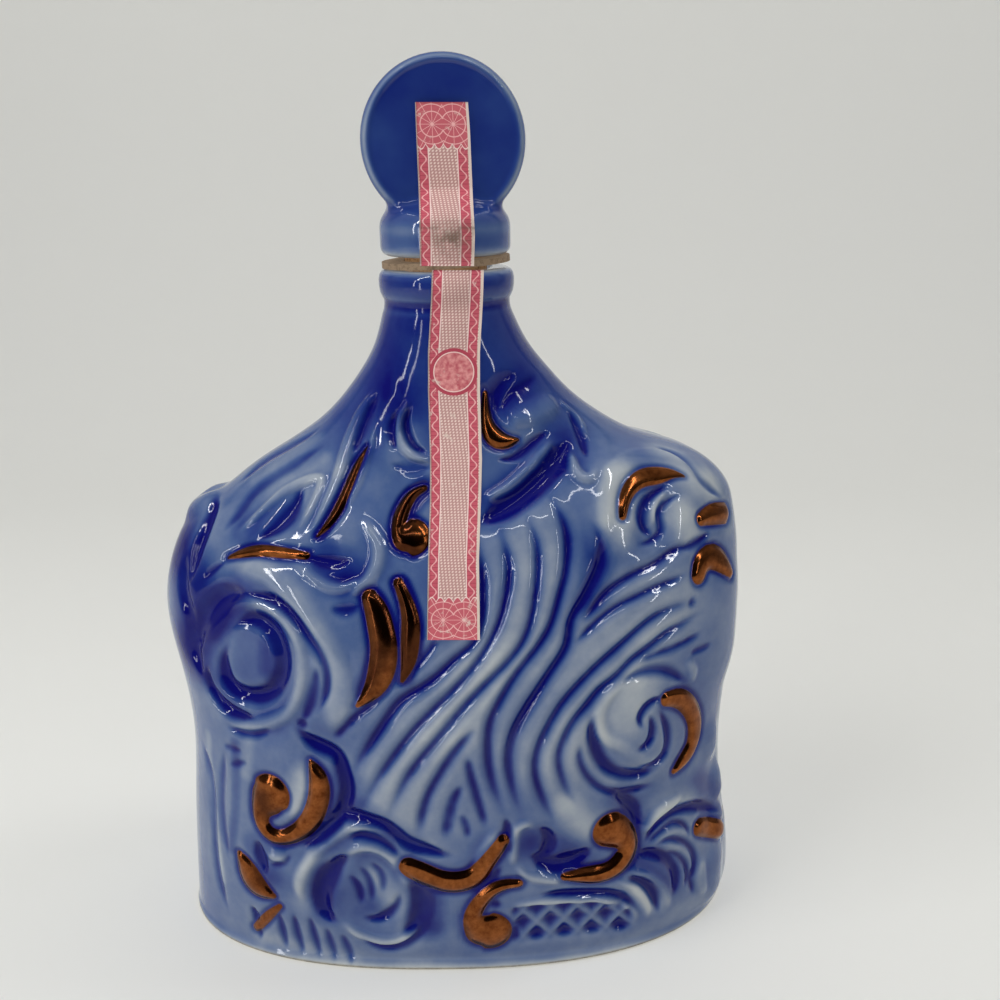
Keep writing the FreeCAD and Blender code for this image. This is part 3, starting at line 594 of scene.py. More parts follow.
def smoothed(values, passes, wrap=True):
    """A grid of values averaged with its neighbours a number of times, closed round the columns or not."""
    for _ in range(passes):
        padded = np.pad(values, ((1, 1), (0, 0)), mode="edge")
        values = (padded[2:] + padded[:-2] + 2 * values) / 4
        if wrap:
            values = (np.roll(values, 1, axis=1) + np.roll(values, -1, axis=1) + 2 * values) / 4
        else:
            padded = np.pad(values, ((0, 0), (1, 1)), mode="edge")
            values = (padded[:, 2:] + padded[:, :-2] + 2 * values) / 4
    return values


def ease(share):
    """A smooth step from nought to one."""
    share = np.clip(share, 0, 1)
    return share * share * (3 - 2 * share)


def dome(share):
    """A round profile, nought at an edge and one in the middle."""
    return (1 - (1 - share) ** 2) ** 2


def raise_to(field, near, values):
    """Raises a field to the values where it lies below them."""
    field[near] = np.maximum(field[near], values)


class Relief:
    """Relief on the front of the bottle, evaluated stroke by stroke at the points of the wall.

    A route is followed in STEPs of pixels. A soft groove is SOFT_WIDTH times as wide as its stroke.
    Strokes thin over TAPER_LENGTH millimetres and fade over FADE_SHARE of their length at each end. Copper
    lies in a hollow MOAT pixels wide and MOAT_DEPTH deep, and how far a point is from its edge is kept up
    to FAR.
    """

    STEP = 4.0
    SOFT_WIDTH = 1.35
    TAPER_LENGTH = 9.0
    FADE_SHARE = 0.2
    MOAT = 6
    MOAT_DEPTH = 0.7
    FAR = 1.5

    def __init__(self, wall):
        self.shape = wall.shape[:2]
        self.points = wall.reshape(-1, 3)
        fields = np.zeros((7, len(self.points)))
        self.mass, self.ridge, self.groove, self.boss, self.dark, self.wash, self.knob = fields
        self.lustre = np.full(len(self.points), -self.FAR)
        coarse = wall[::3, ::3]
        faces = grid_faces(coarse.shape[0], coarse.shape[1], False)
        self.tree = BVHTree.FromPolygons(coarse.reshape(-1, 3).tolist(), faces.tolist())
        self.across, self.below = pixels(self.points)

    def on_wall(self, across, below):
        """Point of the wall that the camera sees at a pixel, or the nearest one if it looks past it."""
        hit = self.tree.ray_cast(Vector(CAMERA_AT), Vector(ray(across, below)))[0]
        if hit is not None:
            return np.array(hit)
        return self.points[np.argmin((self.across - across) ** 2 + (self.below - below) ** 2)]

    def route(self, stops):
        """A smooth route through stops of pixel and half width, as points on the wall and half widths."""
        stops = np.array(stops, float)
        knots = np.concatenate([[0], np.cumsum(np.hypot(*np.diff(stops[:, :2], axis=0).T))])
        count = max(3, int(knots[-1] / self.STEP) + 1)
        fine = cubic(knots, stops, np.linspace(0, knots[-1], count))
        return np.array([self.on_wall(across, below) for across, below, _ in fine]), fine[:, 2] * PIXEL

    def reach(self, stops, margin=0.0, taper=0.0):
        """Points near a route: depth inside its edge, half width there, and how far along it they lie."""
        path, widths = self.route(stops)
        passed = np.concatenate([[0], np.cumsum(np.linalg.norm(np.diff(path, axis=0), axis=1))])
        ends = np.minimum(passed, passed[-1] - passed) / min(self.TAPER_LENGTH, 0.45 * passed[-1])
        widths = np.maximum(widths * (1 - taper * (1 - ease(ends))), 0.1)
        low = path.min(axis=0) - widths.max() - margin
        high = path.max(axis=0) + widths.max() + margin
        near = np.flatnonzero(np.all((self.points > low) & (self.points < high), axis=1))
        inside = np.full(len(near), -np.inf)
        width = np.ones(len(near))
        along = np.zeros(len(near))
        for k in range(len(path) - 1):
            run = path[k + 1] - path[k]
            apart = self.points[near] - path[k]
            share = np.clip(apart @ run / max(run @ run, 1e-9), 0, 1)
            wide = widths[k] + (widths[k + 1] - widths[k]) * share
            depth = wide - np.linalg.norm(apart - share[:, None] * run, axis=1)
            deeper = depth > inside
            inside[deeper] = depth[deeper]
            width[deeper] = wide[deeper]
            along[deeper] = (k + share[deeper]) / (len(path) - 1)
        kept = inside > -margin
        return near[kept], inside[kept], width[kept], along[kept]

    def stroke(self, half_width, route, taper=0.0):
        """Points near a stroke of one width, their share of the way to its middle, and its strength."""
        stops = [(*point, half_width) for point in zip(route[::2], route[1::2])]
        near, inside, width, along = self.reach(stops, taper=taper)
        return near, inside / width, ease(np.minimum(along, 1 - along) / self.FADE_SHARE + 0.15)

    def swell(self, half_width, height, *route):
        """Points of a broad swell or hollow, and its height at them."""
        near, share, _ = self.stroke(half_width, route)
        return near, height * dome(share)

    def add_mass(self, *stroke):
        """A swell or hollow of the wall."""
        near, height = self.swell(*stroke)
        self.mass[near] += height

    def add_knob(self, *stroke):
        """A swell that stands out of the outline."""
        raise_to(self.knob, *self.swell(*stroke))

    def add_wash(self, *stroke):
        """A patch where the glaze lies thicker or thinner."""
        near, change = self.swell(*stroke)
        self.wash[near] += change

    def add_groove(self, half_width, depth, dark, *route, sharp=False):
        """A valley with a sharp or a round bottom that dies out at both ends."""
        wide, taper = (half_width, 0.35) if sharp else (half_width * self.SOFT_WIDTH, 0.65)
        near, share, fade = self.stroke(wide, route, taper)
        valley = 1 - np.sqrt(1 - share ** 2 * 0.999) if sharp else 0.8 * ease(share)
        raise_to(self.groove, near, GROOVE_GAIN * depth * fade * valley)
        raise_to(self.dark, near, dark * fade * (share ** 1.1 if sharp else ease(share)))

    def add_ridge(self, half_width, height, *route):
        """A rounded ridge that dies out at both ends."""
        near, share, fade = self.stroke(half_width, route, 0.4)
        raise_to(self.ridge, near, RIDGE_GAIN * height * fade * dome(share))

    def add_copper(self, height, *route):
        """A scroll with a round back, painted with lustre, and a narrow dark moat round it."""
        stops = np.reshape(route, (-1, 3))
        around, inside, _, _ = self.reach(stops + [0, 0, self.MOAT])
        moat = ease(inside / (self.MOAT * PIXEL))
        raise_to(self.groove, around, self.MOAT_DEPTH * moat)
        raise_to(self.dark, around, 0.5 * moat)
        near, inside, width, _ = self.reach(stops, self.FAR)
        share = np.clip(inside / width, 0, 1)
        raise_to(self.boss, near, COPPER_GAIN * height * (1 - (1 - share) ** 2) ** 0.75)
        raise_to(self.lustre, near, np.minimum(inside, self.FAR))

    def add_lattice(self):
        """Diamond-shaped hollows in rows that climb to the right, inside the panel above the foot."""
        climb = LATTICE_CLIMB * (self.across - LATTICE_FROM[0])
        across = (self.across - LATTICE_CELL[0]) / LATTICE_PITCH[0]
        below = (self.below + climb - LATTICE_CELL[1]) / LATTICE_PITCH[1]
        first = across + below
        second = across - below
        ratio = 2 * np.maximum(np.abs(first - np.round(first)), np.abs(second - np.round(second)))
        edge = 5.0
        inside = ease((self.across - LATTICE_FROM[0]) / edge) * ease((LATTICE_TO[0] - self.across) / edge)
        inside = inside * ease((self.below + climb / 2 - LATTICE_FROM[1]) / edge)
        inside = inside * ease((LATTICE_TO[1] - self.below - climb) / edge)
        hollow = inside * np.clip(1 - ratio ** 2, 0, 1)
        self.groove = np.maximum(self.groove, GROOVE_GAIN * LATTICE_DEPTH * hollow)
        self.dark = np.maximum(self.dark, LATTICE_DARK * hollow)

    def heights(self):
        """Height of the glaze over the inset wall, darkness, wash, lustre and knobs, each as a grid."""
        height = self.ridge - self.groove
        height = np.where(self.boss > 0, np.maximum(height, self.boss - self.MOAT_DEPTH), height)
        fields = (self.mass + height, self.dark, self.wash, self.lustre, self.knob)
        return tuple(values.reshape(self.shape) for values in fields)


def mirrored(front):
    """A grid over the front, carried round to the back as its mirror image."""
    return np.concatenate([front, front[:, -2:0:-1]], axis=1)


def set_attribute(mesh, name, values):
    """Stores a number for each point of a mesh."""
    made = mesh.attributes.new(name, "FLOAT", "POINT")
    made.data.foreach_set("value", np.asarray(values, np.float32).ravel())


def make_object(name, points, faces):
    """A mesh object from points in millimetres."""
    mesh = bpy.data.meshes.new(name)
    mesh.from_pydata((np.asarray(points) * MM).tolist(), [], [list(face) for face in faces])
    mesh.polygons.foreach_set("use_smooth", [True] * len(mesh.polygons))
    mesh.update()
    made = bpy.data.objects.new(name, mesh)
    bpy.context.scene.collection.objects.link(made)
    return made


def ring_rows(profile):
    """Round sections from pairs of height and radius."""
    return np.array([(height, radius, radius, radius) for height, radius in profile])


def inner_rows(sections):
    """Rows of the bottle's inside, from the throat down to the floor."""
    hollow = sections[:len(BODY_SHARES) + 5] - HOLLOW_WALL
    hollow[0] = [FLOOR + 2, *(sections[0, 1:] - HOLLOW_WALL - 1)]
    throat = [LIP_HEIGHT - BORE_DEPTH, BORE_RADIUS, BORE_RADIUS, BORE_RADIUS]
    rows = even_rows(np.vstack([hollow, throat]), 4.0)[::-1]
    edge = [FLOOR, *(sections[0, 1:] - HOLLOW_WALL - 4)]
    middle = [FLOOR, 0.2, 0.2, 0.2]
    return np.vstack([rows, edge, middle])


def make_bottle():
    """The whole skin of the bottle: underside, relief wall, neck, collar, mouth and hollow."""
    sections = wall_sections()
    front, angles = even_angles(SPACING)
    rows = even_rows(sections, SPACING)
    low = 1 - np.clip(rows[:, :1] / FOOT_CURL_HEIGHT, 0, 1)
    rows[:, 2:3] -= FOOT_CURL * (1 - np.sqrt(1 - low ** 2))
    wall = rings(rows, angles)
    normals = outward(wall)
    relief = Relief(wall[:, :len(front)])
    for stroke in VALLEYS:
        relief.add_groove(*stroke, sharp=True)
    for add, strokes in (
        (relief.add_mass, MASSES), (relief.add_groove, GROOVES), (relief.add_ridge, RIDGES),
        (relief.add_copper, COPPER), (relief.add_wash, WASHES), (relief.add_knob, KNOBS),
    ):
        for stroke in strokes:
            add(*stroke)
    relief.add_lattice()
    height, dark, wash, lustre, knob = (mirrored(values) for values in relief.heights())
    height = smoothed(height, 2)
    fade = ease(rows[:, :1] / FOOT_FADE) * ease((NECK_HEIGHT - rows[:, :1]) / NECK_FADE)
    inset = SIDE_INSET + (FRONT_INSET - SIDE_INSET) * np.sin(angles)[None, :] ** 2
    height = np.where(height > 0, inset * np.tanh(height / inset), height)
    skin = wall + normals * (fade * (height - inset + smoothed(knob, 4)))[:, :, None]

    depth = sum(share * (smoothed(height, passes) - height) for passes, share in HOLLOW_PASSES)
    tone = WALL_TONE + GROOVE_TONE * dark + np.where(depth > 0, 1.2, 0.7) * depth + wash
    neck = ease((rows[:, :1] - NECK_TONE_FROM) / NECK_TONE_RISE)
    tone = tone + neck * (NECK_TONE - tone) * NECK_TONE_SHARE
    tone = tone - EDGE_TONE * ease((2.0 - rows[:, :1]) / 1.4)

    collar = rings(ring_rows(COLLAR), angles)
    inside = rings(inner_rows(sections), angles)
    rim = rows[0]
    foot = rings(np.array([
        [FOOT_RECESS, 0.2, 0.2, 0.2],
        [FOOT_RECESS, *(rim[1:] - FOOT_RING - 1.5)],
        [FOOT_RECESS * 0.8, *(rim[1:] - FOOT_RING - 0.5)],
        [0.2, *(rim[1:] - FOOT_RING)],
        [0.0, *(rim[1:] - FOOT_RING + 0.6)],
        [0.0, *(rim[1:] - 1.0)],
        [0.25, *(rim[1:] - 0.35)],
    ]), angles)
    grid = np.concatenate([foot, skin[1:], collar, inside])
    extra = len(collar) + len(inside)
    tones = np.concatenate([
        np.full((len(foot), len(angles)), UNDERSIDE_TONE), tone[1:],
        np.repeat(np.array(COLLAR_TONES)[:, None], len(angles), axis=1),
        np.full((extra - len(COLLAR_TONES), len(angles)), INSIDE_TONE),
    ])
    none = -Relief.FAR
    lustres = np.concatenate([
        np.full((len(foot), len(angles)), none), lustre[1:], np.full((extra, len(angles)), none)])
    # Unglazed clay on the foot's ring and on the wall's lowest row; the line this makes at the floor is also
    # painted shade under the foot.
    bare_and_contact_shade = np.zeros(grid.shape[:2])
    bare_and_contact_shade[2:len(foot) + 1] = 1
    bottle = make_object("bottle_porcelain", grid.reshape(-1, 3), grid_faces(*grid.shape[:2], True))
    set_attribute(bottle.data, "tone", np.clip(tones, 0, 1))
    set_attribute(bottle.data, "lustre", lustres)
    set_attribute(bottle.data, "bare_and_contact_shade", bare_and_contact_shade)
    lay_bake_map(bottle.data, *grid.shape[:2])
    return bottle


def lay_bake_map(mesh, rows, columns):
    """Unrolls a closed grid on the unit square."""
    layer = mesh.uv_layers.new(name="OFBake")
    row, column = np.meshgrid(np.arange(rows - 1), np.arange(columns), indexing="ij")
    places = []
    for down, over in ((0, 0), (0, 1), (1, 1), (1, 0)):
        places.append(np.stack([(column + over) / columns, (row + down) / (rows - 1)], axis=2))
    layer.data.foreach_set("uv", np.stack(places, axis=2).astype(np.float32).ravel())


def linear(red, green, blue):
    """A colour given in screen values from 0 to 255, for a shader."""
    values = []
    for value in (red, green, blue):
        share = value / 255
        values.append(share / 12.92 if share <= 0.04045 else ((share + 0.055) / 1.055) ** 2.4)
    return (*values, 1)


def sign(operation):
    """A method that works out a sum on a signal, and on a second one or a number where there is one."""
    return lambda signal, *other: signal.shader.maths(operation, signal, *other)


class Signal:
    """A number or colour that a shader works out, on which Python's own signs can be used."""

    def __init__(self, shader, socket):
        self.shader = shader
        self.socket = socket

    __add__ = sign("ADD")
    __sub__ = sign("SUBTRACT")
    __mul__ = sign("MULTIPLY")
    __lt__ = sign("LESS_THAN")
    __gt__ = sign("GREATER_THAN")
    __abs__ = sign("ABSOLUTE")
    sine = sign("SINE")
    floor = sign("FLOOR")
    fraction = sign("FRACT")
    root = sign("SQRT")
    angle = sign("ARCTAN2")
    lesser = sign("MINIMUM")
    greater = sign("MAXIMUM")


class Shader:
    """A node material, put together call by call."""

    def __init__(self, name):
        self.material = bpy.data.materials.new(name)
        self.material.use_nodes = True
        self.nodes = self.material.node_tree.nodes
        self.links = self.material.node_tree.links
        self.base = self.nodes["Principled BSDF"]

    def put(self, target, value):
        """Sets a socket to a value, or links a signal to it."""
        if isinstance(value, Signal):
            self.links.new(value.socket, target)
        else:
            target.default_value = value

    def surface(self, **values):
        """Sets the surface's sockets, with underscores for spaces in their names."""
        for name, value in values.items():
            self.put(self.base.inputs[name.replace("_", " ")], value)

    def attribute(self, name):
        """A number stored on the points of the mesh."""
        node = self.nodes.new("ShaderNodeAttribute")
        node.attribute_name = name
        return Signal(self, node.outputs["Fac"])

    def maths(self, operation, first, second=0.0):
        """A sum on one or two numbers."""
        node = self.nodes.new("ShaderNodeMath")
        node.operation = operation
        self.put(node.inputs[0], first)
        self.put(node.inputs[1], second)
        return Signal(self, node.outputs[0])

    def noise(self, scale, detail=3.0, roughness=0.5):
        """Soft noise with that many waves in a metre of the object."""
        node = self.nodes.new("ShaderNodeTexNoise")
        place = self.nodes.new("ShaderNodeTexCoord")
        self.links.new(place.outputs["Object"], node.inputs["Vector"])
        node.inputs["Scale"].default_value = scale
        node.inputs["Detail"].default_value = detail
        node.inputs["Roughness"].default_value = roughness
        return Signal(self, node.outputs["Fac"])

    def ramp(self, value, stops):
        """Colours along a number."""
        node = self.nodes.new("ShaderNodeValToRGB")
        elements = node.color_ramp.elements
        while len(elements) < len(stops):
            elements.new(0.5)
        for element, (position, colour) in zip(elements, stops):
            element.position = position
            element.color = colour
        self.put(node.inputs["Fac"], value)
        return Signal(self, node.outputs["Color"])

    def mix(self, share, first, second):
        """One colour over another."""
        node = self.nodes.new("ShaderNodeMix")
        node.data_type = "RGBA"
        self.put(node.inputs["Factor"], share)
        self.put(node.inputs["A"], first)
        self.put(node.inputs["B"], second)
        return Signal(self, node.outputs["Result"])

    def bump(self, height, strength, distance):
        """A fine unevenness of the surface."""
        node = self.nodes.new("ShaderNodeBump")
        node.inputs["Strength"].default_value = strength
        node.inputs["Distance"].default_value = distance
        self.put(node.inputs["Height"], height)
        self.links.new(node.outputs["Normal"], self.base.inputs["Normal"])


GLAZE_STOPS = [
    (0.00, linear(190, 195, 196)),
    (0.16, linear(158, 167, 179)),
    (0.34, linear(112, 128, 158)),
    (0.52, linear(72, 95, 143)),
    (0.70, linear(40, 63, 128)),
    (0.86, linear(22, 37, 115)),
    (1.00, linear(13, 14, 102)),
]

# Print on the strips, in millimetres across from their left edge, or from the middle of a rosette or ring:
# the borders, the lines beside them and the ribbons in them; the rosettes, where they meet, their petals and
# hoops, and the scalloped end of their block; the ring, its band and the line inside that; the inked width.
BORDERS = ((0.35, 2.35), (9.05, 11.15))
RULES = ((2.38, 2.62), (8.80, 9.04))
RIBBONS = (1.35, 10.1)
RIBBON_HALF = 0.17
ROSETTES = (3.6, 8.3)
ROSETTE_FROM_END = 4.6
ROSETTE_MEETING = 5.95
ROSETTE_PETALS = 6.0
HOOPS = ((2.55, 2.8), (4.1, 4.3))
BLOCK_LENGTH = 8.6
SCALLOP_DEPTH = 1.1
SCALLOP_LINE = (0.0, 0.28)
RING_MIDDLE = 5.9
RING_BAND = (4.7, 5.5)
RING_LINE = (4.45, 4.7)
PRINT_SPAN = (0.18, 11.3)
PALE_INK = linear(240, 214, 208)


def glaze_material():
    """Translucent blue glaze, dark where it pools, with copper lustre on the scrolls and an unglazed foot,
    whose lowest line is also painted shade where the foot meets the floor.
    """
    shader = Shader("blue_glaze")
    tone = shader.attribute("tone") + (shader.noise(55, 5, 0.6) * 0.5 - 0.25)
    colour = shader.ramp(tone, GLAZE_STOPS)
    lustre = (shader.attribute("lustre") * 3.0 + 0.5).greater(0.0).lesser(1.0)
    coppers = [(0.32, linear(102, 52, 22)), (0.68, linear(160, 95, 50))]
    wear = shader.ramp(shader.noise(420, 6, 0.7), coppers)
    tarnish = (tone * 1.6 - 0.8).greater(0.0).lesser(0.8)
    wear = shader.mix(tarnish, wear, linear(44, 22, 16))
    # Unglazed clay, whose line at the floor is also painted shade under the foot.
    bare_and_contact_shade = shader.attribute("bare_and_contact_shade")
    clay = shader.ramp(shader.noise(700, 4), [(0.3, linear(120, 112, 92)), (0.7, linear(168, 160, 140))])
    colour = shader.mix(lustre, colour, wear)
    colour = shader.mix(bare_and_contact_shade, colour, clay)
    rough = bare_and_contact_shade * 0.7 + (lustre * 0.10 + 0.06)
    sheen = (tone * -0.75 + 0.95).lesser(0.5).greater(0.16).greater(lustre)
    shader.surface(Base_Color=colour, Metallic=lustre, Roughness=rough, IOR=1.5, Specular_IOR_Level=sheen)
    shader.bump(shader.noise(420, 2), 0.03, 0.0006)
    return shader.material


def stopper_material():
    """Deep blue glaze that thins to grey over the stopper's edges."""
    shader = Shader("stopper_glaze")
    tone = shader.attribute("tone") + (shader.noise(70, 4) * 0.4 - 0.2)
    shader.surface(Base_Color=shader.ramp(tone, GLAZE_STOPS), Roughness=0.06, IOR=1.5)
    shader.bump(shader.noise(300, 2), 0.03, 0.0006)
    return shader.material


def cork_material(name, pale, deep):
    """Speckled cork."""
    shader = Shader(name)
    speckle = shader.noise(900, 6, 0.7)
    colour = shader.ramp(speckle, [(0.32, deep), (0.52, pale)])
    shader.surface(Base_Color=colour, Roughness=0.9)
    shader.bump(speckle, 0.5, 0.0004)
    return shader.material


def paper_material():
    """Worn paper printed in pink: ornamented borders, a dashed field, a rosette block and a plain ring."""
    shader = Shader("strip_paper")
    across = shader.attribute("across")
    along = shader.attribute("along")
    end = shader.attribute("from_end")

    def between(value, low, high):
        return (value > low) * (value < high)

    def in_either(value, first, second):
        return between(value, *first).greater(between(value, *second))

    def distance(first, second):
        return (first * first + second * second).root()

    # Field of short slanting dashes.
    course = along * 1.5
    offset = course.floor() * 0.5 + (across * 1.25 + along * 0.62)
    dash = (offset.fraction() < 0.46) * (course.fraction() < 0.62)
    colour = shader.mix(dash, linear(190, 142, 138), linear(236, 214, 204))

    # Borders with a wavy ribbon and beads between thin pale lines.
    wave = (along * 1.7).sine() * 0.62
    left, right = (abs(across - middle - wave) for middle in RIBBONS)
    line = left.lesser(right) < RIBBON_HALF
    bead = (along * 1.1).fraction() < 0.2
    ink = shader.mix(bead, linear(196, 84, 100), linear(172, 62, 82))
    ink = shader.mix(line, ink, linear(232, 172, 172))
    colour = shader.mix(in_either(across, *BORDERS), colour, ink)
    colour = shader.mix(in_either(across, *RULES), colour, PALE_INK)

    # Rosette block at the strip's end, with two hoops of spokes and a scalloped edge.
    left, right = (across - middle for middle in ROSETTES)
    down = end - ROSETTE_FROM_END
    turn = down.angle(left) * (across < ROSETTE_MEETING) + down.angle(right) * (across > ROSETTE_MEETING)
    centre = distance(left, down).lesser(distance(right, down))
    spoke = abs((turn * ROSETTE_PETALS).sine()) * centre < 0.34
    printed = spoke.greater(in_either(centre, *HOOPS))
    printed = shader.mix(printed, linear(198, 92, 104), linear(234, 178, 176))
    length = abs((across * 1.6).sine()) * SCALLOP_DEPTH + BLOCK_LENGTH
    colour = shader.mix(end < length, colour, printed)
    colour = shader.mix(between(end - length, *SCALLOP_LINE), colour, PALE_INK)

    # Plain ring in the middle of the lower strip.
    medal = distance(across - RING_MIDDLE, shader.attribute("from_ring"))
    shade = shader.ramp(shader.noise(900, 3), [(0.35, linear(190, 88, 98)), (0.65, linear(224, 150, 148))])
    colour = shader.mix(medal < RING_BAND[1], colour, shade)
    colour = shader.mix(between(medal, *RING_BAND), colour, linear(178, 62, 82))
    colour = shader.mix(between(medal, *RING_LINE), colour, linear(240, 206, 200))

    # Bare margin, scuffs, stain, painted shade along a crease, and grain.
    margin = (across > PRINT_SPAN[1]).greater(across < PRINT_SPAN[0])
    colour = shader.mix(margin, colour, linear(214, 196, 184))
    scuff = shader.ramp(shader.noise(330, 6, 0.7), [(0.60, (0, 0, 0, 1)), (0.68, (1, 1, 1, 1))])
    colour = shader.mix(scuff * 0.75, colour, linear(222, 204, 192))
    blotch = shader.ramp(shader.noise(420, 5, 0.65), [(0.36, (0.25, 0.25, 0.25, 1)), (0.58, (1, 1, 1, 1))])
    # Stain, and painted shade in a dark line along the crease, both mixed in the same dark brown.
    colour = shader.mix(shader.attribute("stain_and_crease_shade") * blotch * 0.85, colour, linear(104, 84, 70))
    shader.surface(Base_Color=colour, Roughness=0.75)
    shader.bump(shader.noise(1500, 4), 0.2, 0.0002)
    return shader.material


def edge_at(stops, below):
    """Pixel across of an edge that runs through stops of across and below."""
    stops = np.array(stops, float)
    return np.interp(below, stops[:, 1], stops[:, 0])


def make_strip(name, tree, left, right, top, bottom, taut=0):
    """A thin sheet laid on a surface along the camera's rays, between two edges given in pixels."""
    rows = np.arange(top, bottom + 0.1, PAPER_STEP)
    shares = np.linspace(0, 1, PAPER_COLUMNS)
    directions = np.array([
        [ray(edge_at(left, y) * (1 - s) + edge_at(right, y) * s, y) for s in shares] for y in rows])
    depths = np.full(directions.shape[:2], np.nan)
    for i, row in enumerate(directions):
        for j, direction in enumerate(row):
            hit = tree.ray_cast(Vector(CAMERA_AT), Vector(direction))
            if hit[0] is not None:
                depths[i, j] = hit[3]
    for row in depths:
        known = ~np.isnan(row)
        if known.any():
            row[:] = np.interp(shares, shares[known], row[known])
    known = ~np.isnan(depths[:, 0])
    for j in range(depths.shape[1]):
        depths[:, j] = np.interp(rows, rows[known], depths[known, j])
    for _ in range(taut):
        depths = np.minimum(depths, smoothed(depths, 1, wrap=False))
    depths = smoothed(depths, 2, wrap=False) - PAPER_LIFT
    face = CAMERA_AT + directions * depths[:, :, None]
    sunk = CAMERA_AT + directions * (depths + PAPER_THICKNESS)[:, :, None]
    count, wide = depths.shape
    faces = grid_faces(count, wide, False).tolist()
    below = [[corner + count * wide for corner in reversed(quad)] for quad in faces]
    rim = [i * wide for i in range(count)] + [(count - 1) * wide + j for j in range(1, wide)]
    rim += [i * wide + wide - 1 for i in range(count - 2, -1, -1)] + list(range(wide - 2, 0, -1))
    sides = []
    for one, two in zip(rim, rim[1:] + rim[:1]):
        sides.append([one, one + count * wide, two + count * wide, two])
    points = np.concatenate([face.reshape(-1, 3), sunk.reshape(-1, 3)])
    strip = make_object(name, points, faces + below + sides)
    steps = np.linalg.norm(np.diff(face[:, wide // 2], axis=0), axis=1)
    along = np.concatenate([[0], np.cumsum(steps)])
    along = np.repeat(along[:, None], wide, axis=1)
    across = np.repeat(shares[None, :] * PAPER_WIDTH, count, axis=0)
    return strip, across, along


def dress_strip(strip, across, along, from_end, from_ring, stain_and_crease_shade):
    """Stores on a strip what its print follows, on both of its faces."""
    fields = {
        "across": across, "along": along, "from_end": from_end, "from_ring": from_ring, "stain_and_crease_shade": stain_and_crease_shade}
    for key, values in fields.items():
        set_attribute(strip.data, key, np.concatenate([values.ravel(), values.ravel()]))
    strip.data.materials.append(paper_material())


def tree_of(made):
    """Search tree over an object's faces, in millimetres."""
    mesh = made.data
    points = [tuple(made.matrix_world @ vertex.co / MM) for vertex in mesh.vertices]
    return BVHTree.FromPolygons(points, [tuple(polygon.vertices) for polygon in mesh.polygons])


def make_stopper():
    """The stopper's head: the solid, softened, with dished faces and a tone that follows its edges."""
    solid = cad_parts["stopper_head"]
    rough = bpy.data.objects.new("stopper_rough", solid.data.copy())
    rough.matrix_world = solid.matrix_world
    bpy.context.scene.collection.objects.link(rough)
    remesh = rough.modifiers.new("remesh", "REMESH")
    remesh.mode = "VOXEL"
    remesh.voxel_size = STOPPER_VOXEL * MM
    graph = bpy.context.evaluated_depsgraph_get()
    mesh = bpy.data.meshes.new_from_object(rough.evaluated_get(graph))
    mesh.transform(rough.matrix_world)
    bpy.data.objects.remove(rough)
    points = np.empty(len(mesh.vertices) * 3)
    mesh.vertices.foreach_get("co", points)
    points = points.reshape(-1, 3) / MM
    edges = np.empty(len(mesh.edges) * 2, int)
    mesh.edges.foreach_get("vertices", edges)
    edges = edges.reshape(-1, 2)

    def relaxed(places, passes):
        count = np.bincount(edges.ravel(), minlength=len(places))[:, None]
        for _ in range(passes):
            total = np.stack([
                np.bincount(edges[:, 0], places[edges[:, 1], k], len(places))
                + np.bincount(edges[:, 1], places[edges[:, 0], k], len(places)) for k in range(3)], axis=1)
            places = (places + total / count) / 2
        return places

    facing = np.array([-math.sin(STOPPER_TURN), math.cos(STOPPER_TURN), 0])
    sideways = np.array([math.cos(STOPPER_TURN), math.sin(STOPPER_TURN), 0])
    out = points @ facing
    away = np.hypot(points @ sideways, points[:, 2] - DISC_HEIGHT)
    dish = DISH_DEPTH * ease((DISC_RADIUS - 1.3 - away) / 1.3) * (np.abs(out) > DISC_HALF - 1.0)
    points -= (np.sign(out) * dish)[:, None] * facing
    points = relaxed(points, 4)
    mesh.vertices.foreach_set("co", (points * MM).ravel())
    mesh.update()
    normals = np.empty(len(mesh.vertices) * 3)
    mesh.vertices.foreach_get("normal", normals)
    bulge = np.sum((points - relaxed(points, 60)) * normals.reshape(-1, 3), axis=1)
    low = ease((DISC_HEIGHT - DISC_RADIUS + 2 - points[:, 2]) / 6)
    above = points[:, 2] - FOOT_UNDERSIDE
    rim = 0.30 * ease((2.0 - above) / 1.6) + 0.20 * np.exp(-((above - 6.2) / 1.6) ** 2)
    crest = np.exp(-((away - DISC_RADIUS + 0.9) / 0.5) ** 2) * (np.abs(out) > DISC_HALF - 2.5)
    crest *= ease((points[:, 2] - DISC_HEIGHT + 15) / 4)
    tone = STOPPER_TONE - BULGE_TONE * np.clip(bulge, 0, 1) - CREST_TONE * crest - LOW_TONE * low - rim
    set_attribute(mesh, "tone", np.clip(tone, 0.1, 1))
    mesh.polygons.foreach_set("use_smooth", [True] * len(mesh.polygons))
    made = bpy.data.objects.new("stopper_porcelain", mesh)
    bpy.context.scene.collection.objects.link(made)
    made.data.materials.clear()
    made.data.materials.append(stopper_material())
    return made


def make_camera():
    """The camera that took the photograph."""
    data = bpy.data.cameras.new("photo_camera")
    data.sensor_width = SENSOR
    data.lens = SENSOR * FOCAL / PHOTO_SIDE
    data.clip_start = 0.01
    made = bpy.data.objects.new("photo_camera", data)
    turn = Matrix(np.stack([RIGHT, -DOWN, -FORWARD], axis=1).tolist()).to_4x4()
    made.matrix_world = Matrix.Translation(Vector(CAMERA_AT * MM)) @ turn
    bpy.context.scene.collection.objects.link(made)
    bpy.context.scene.camera = made


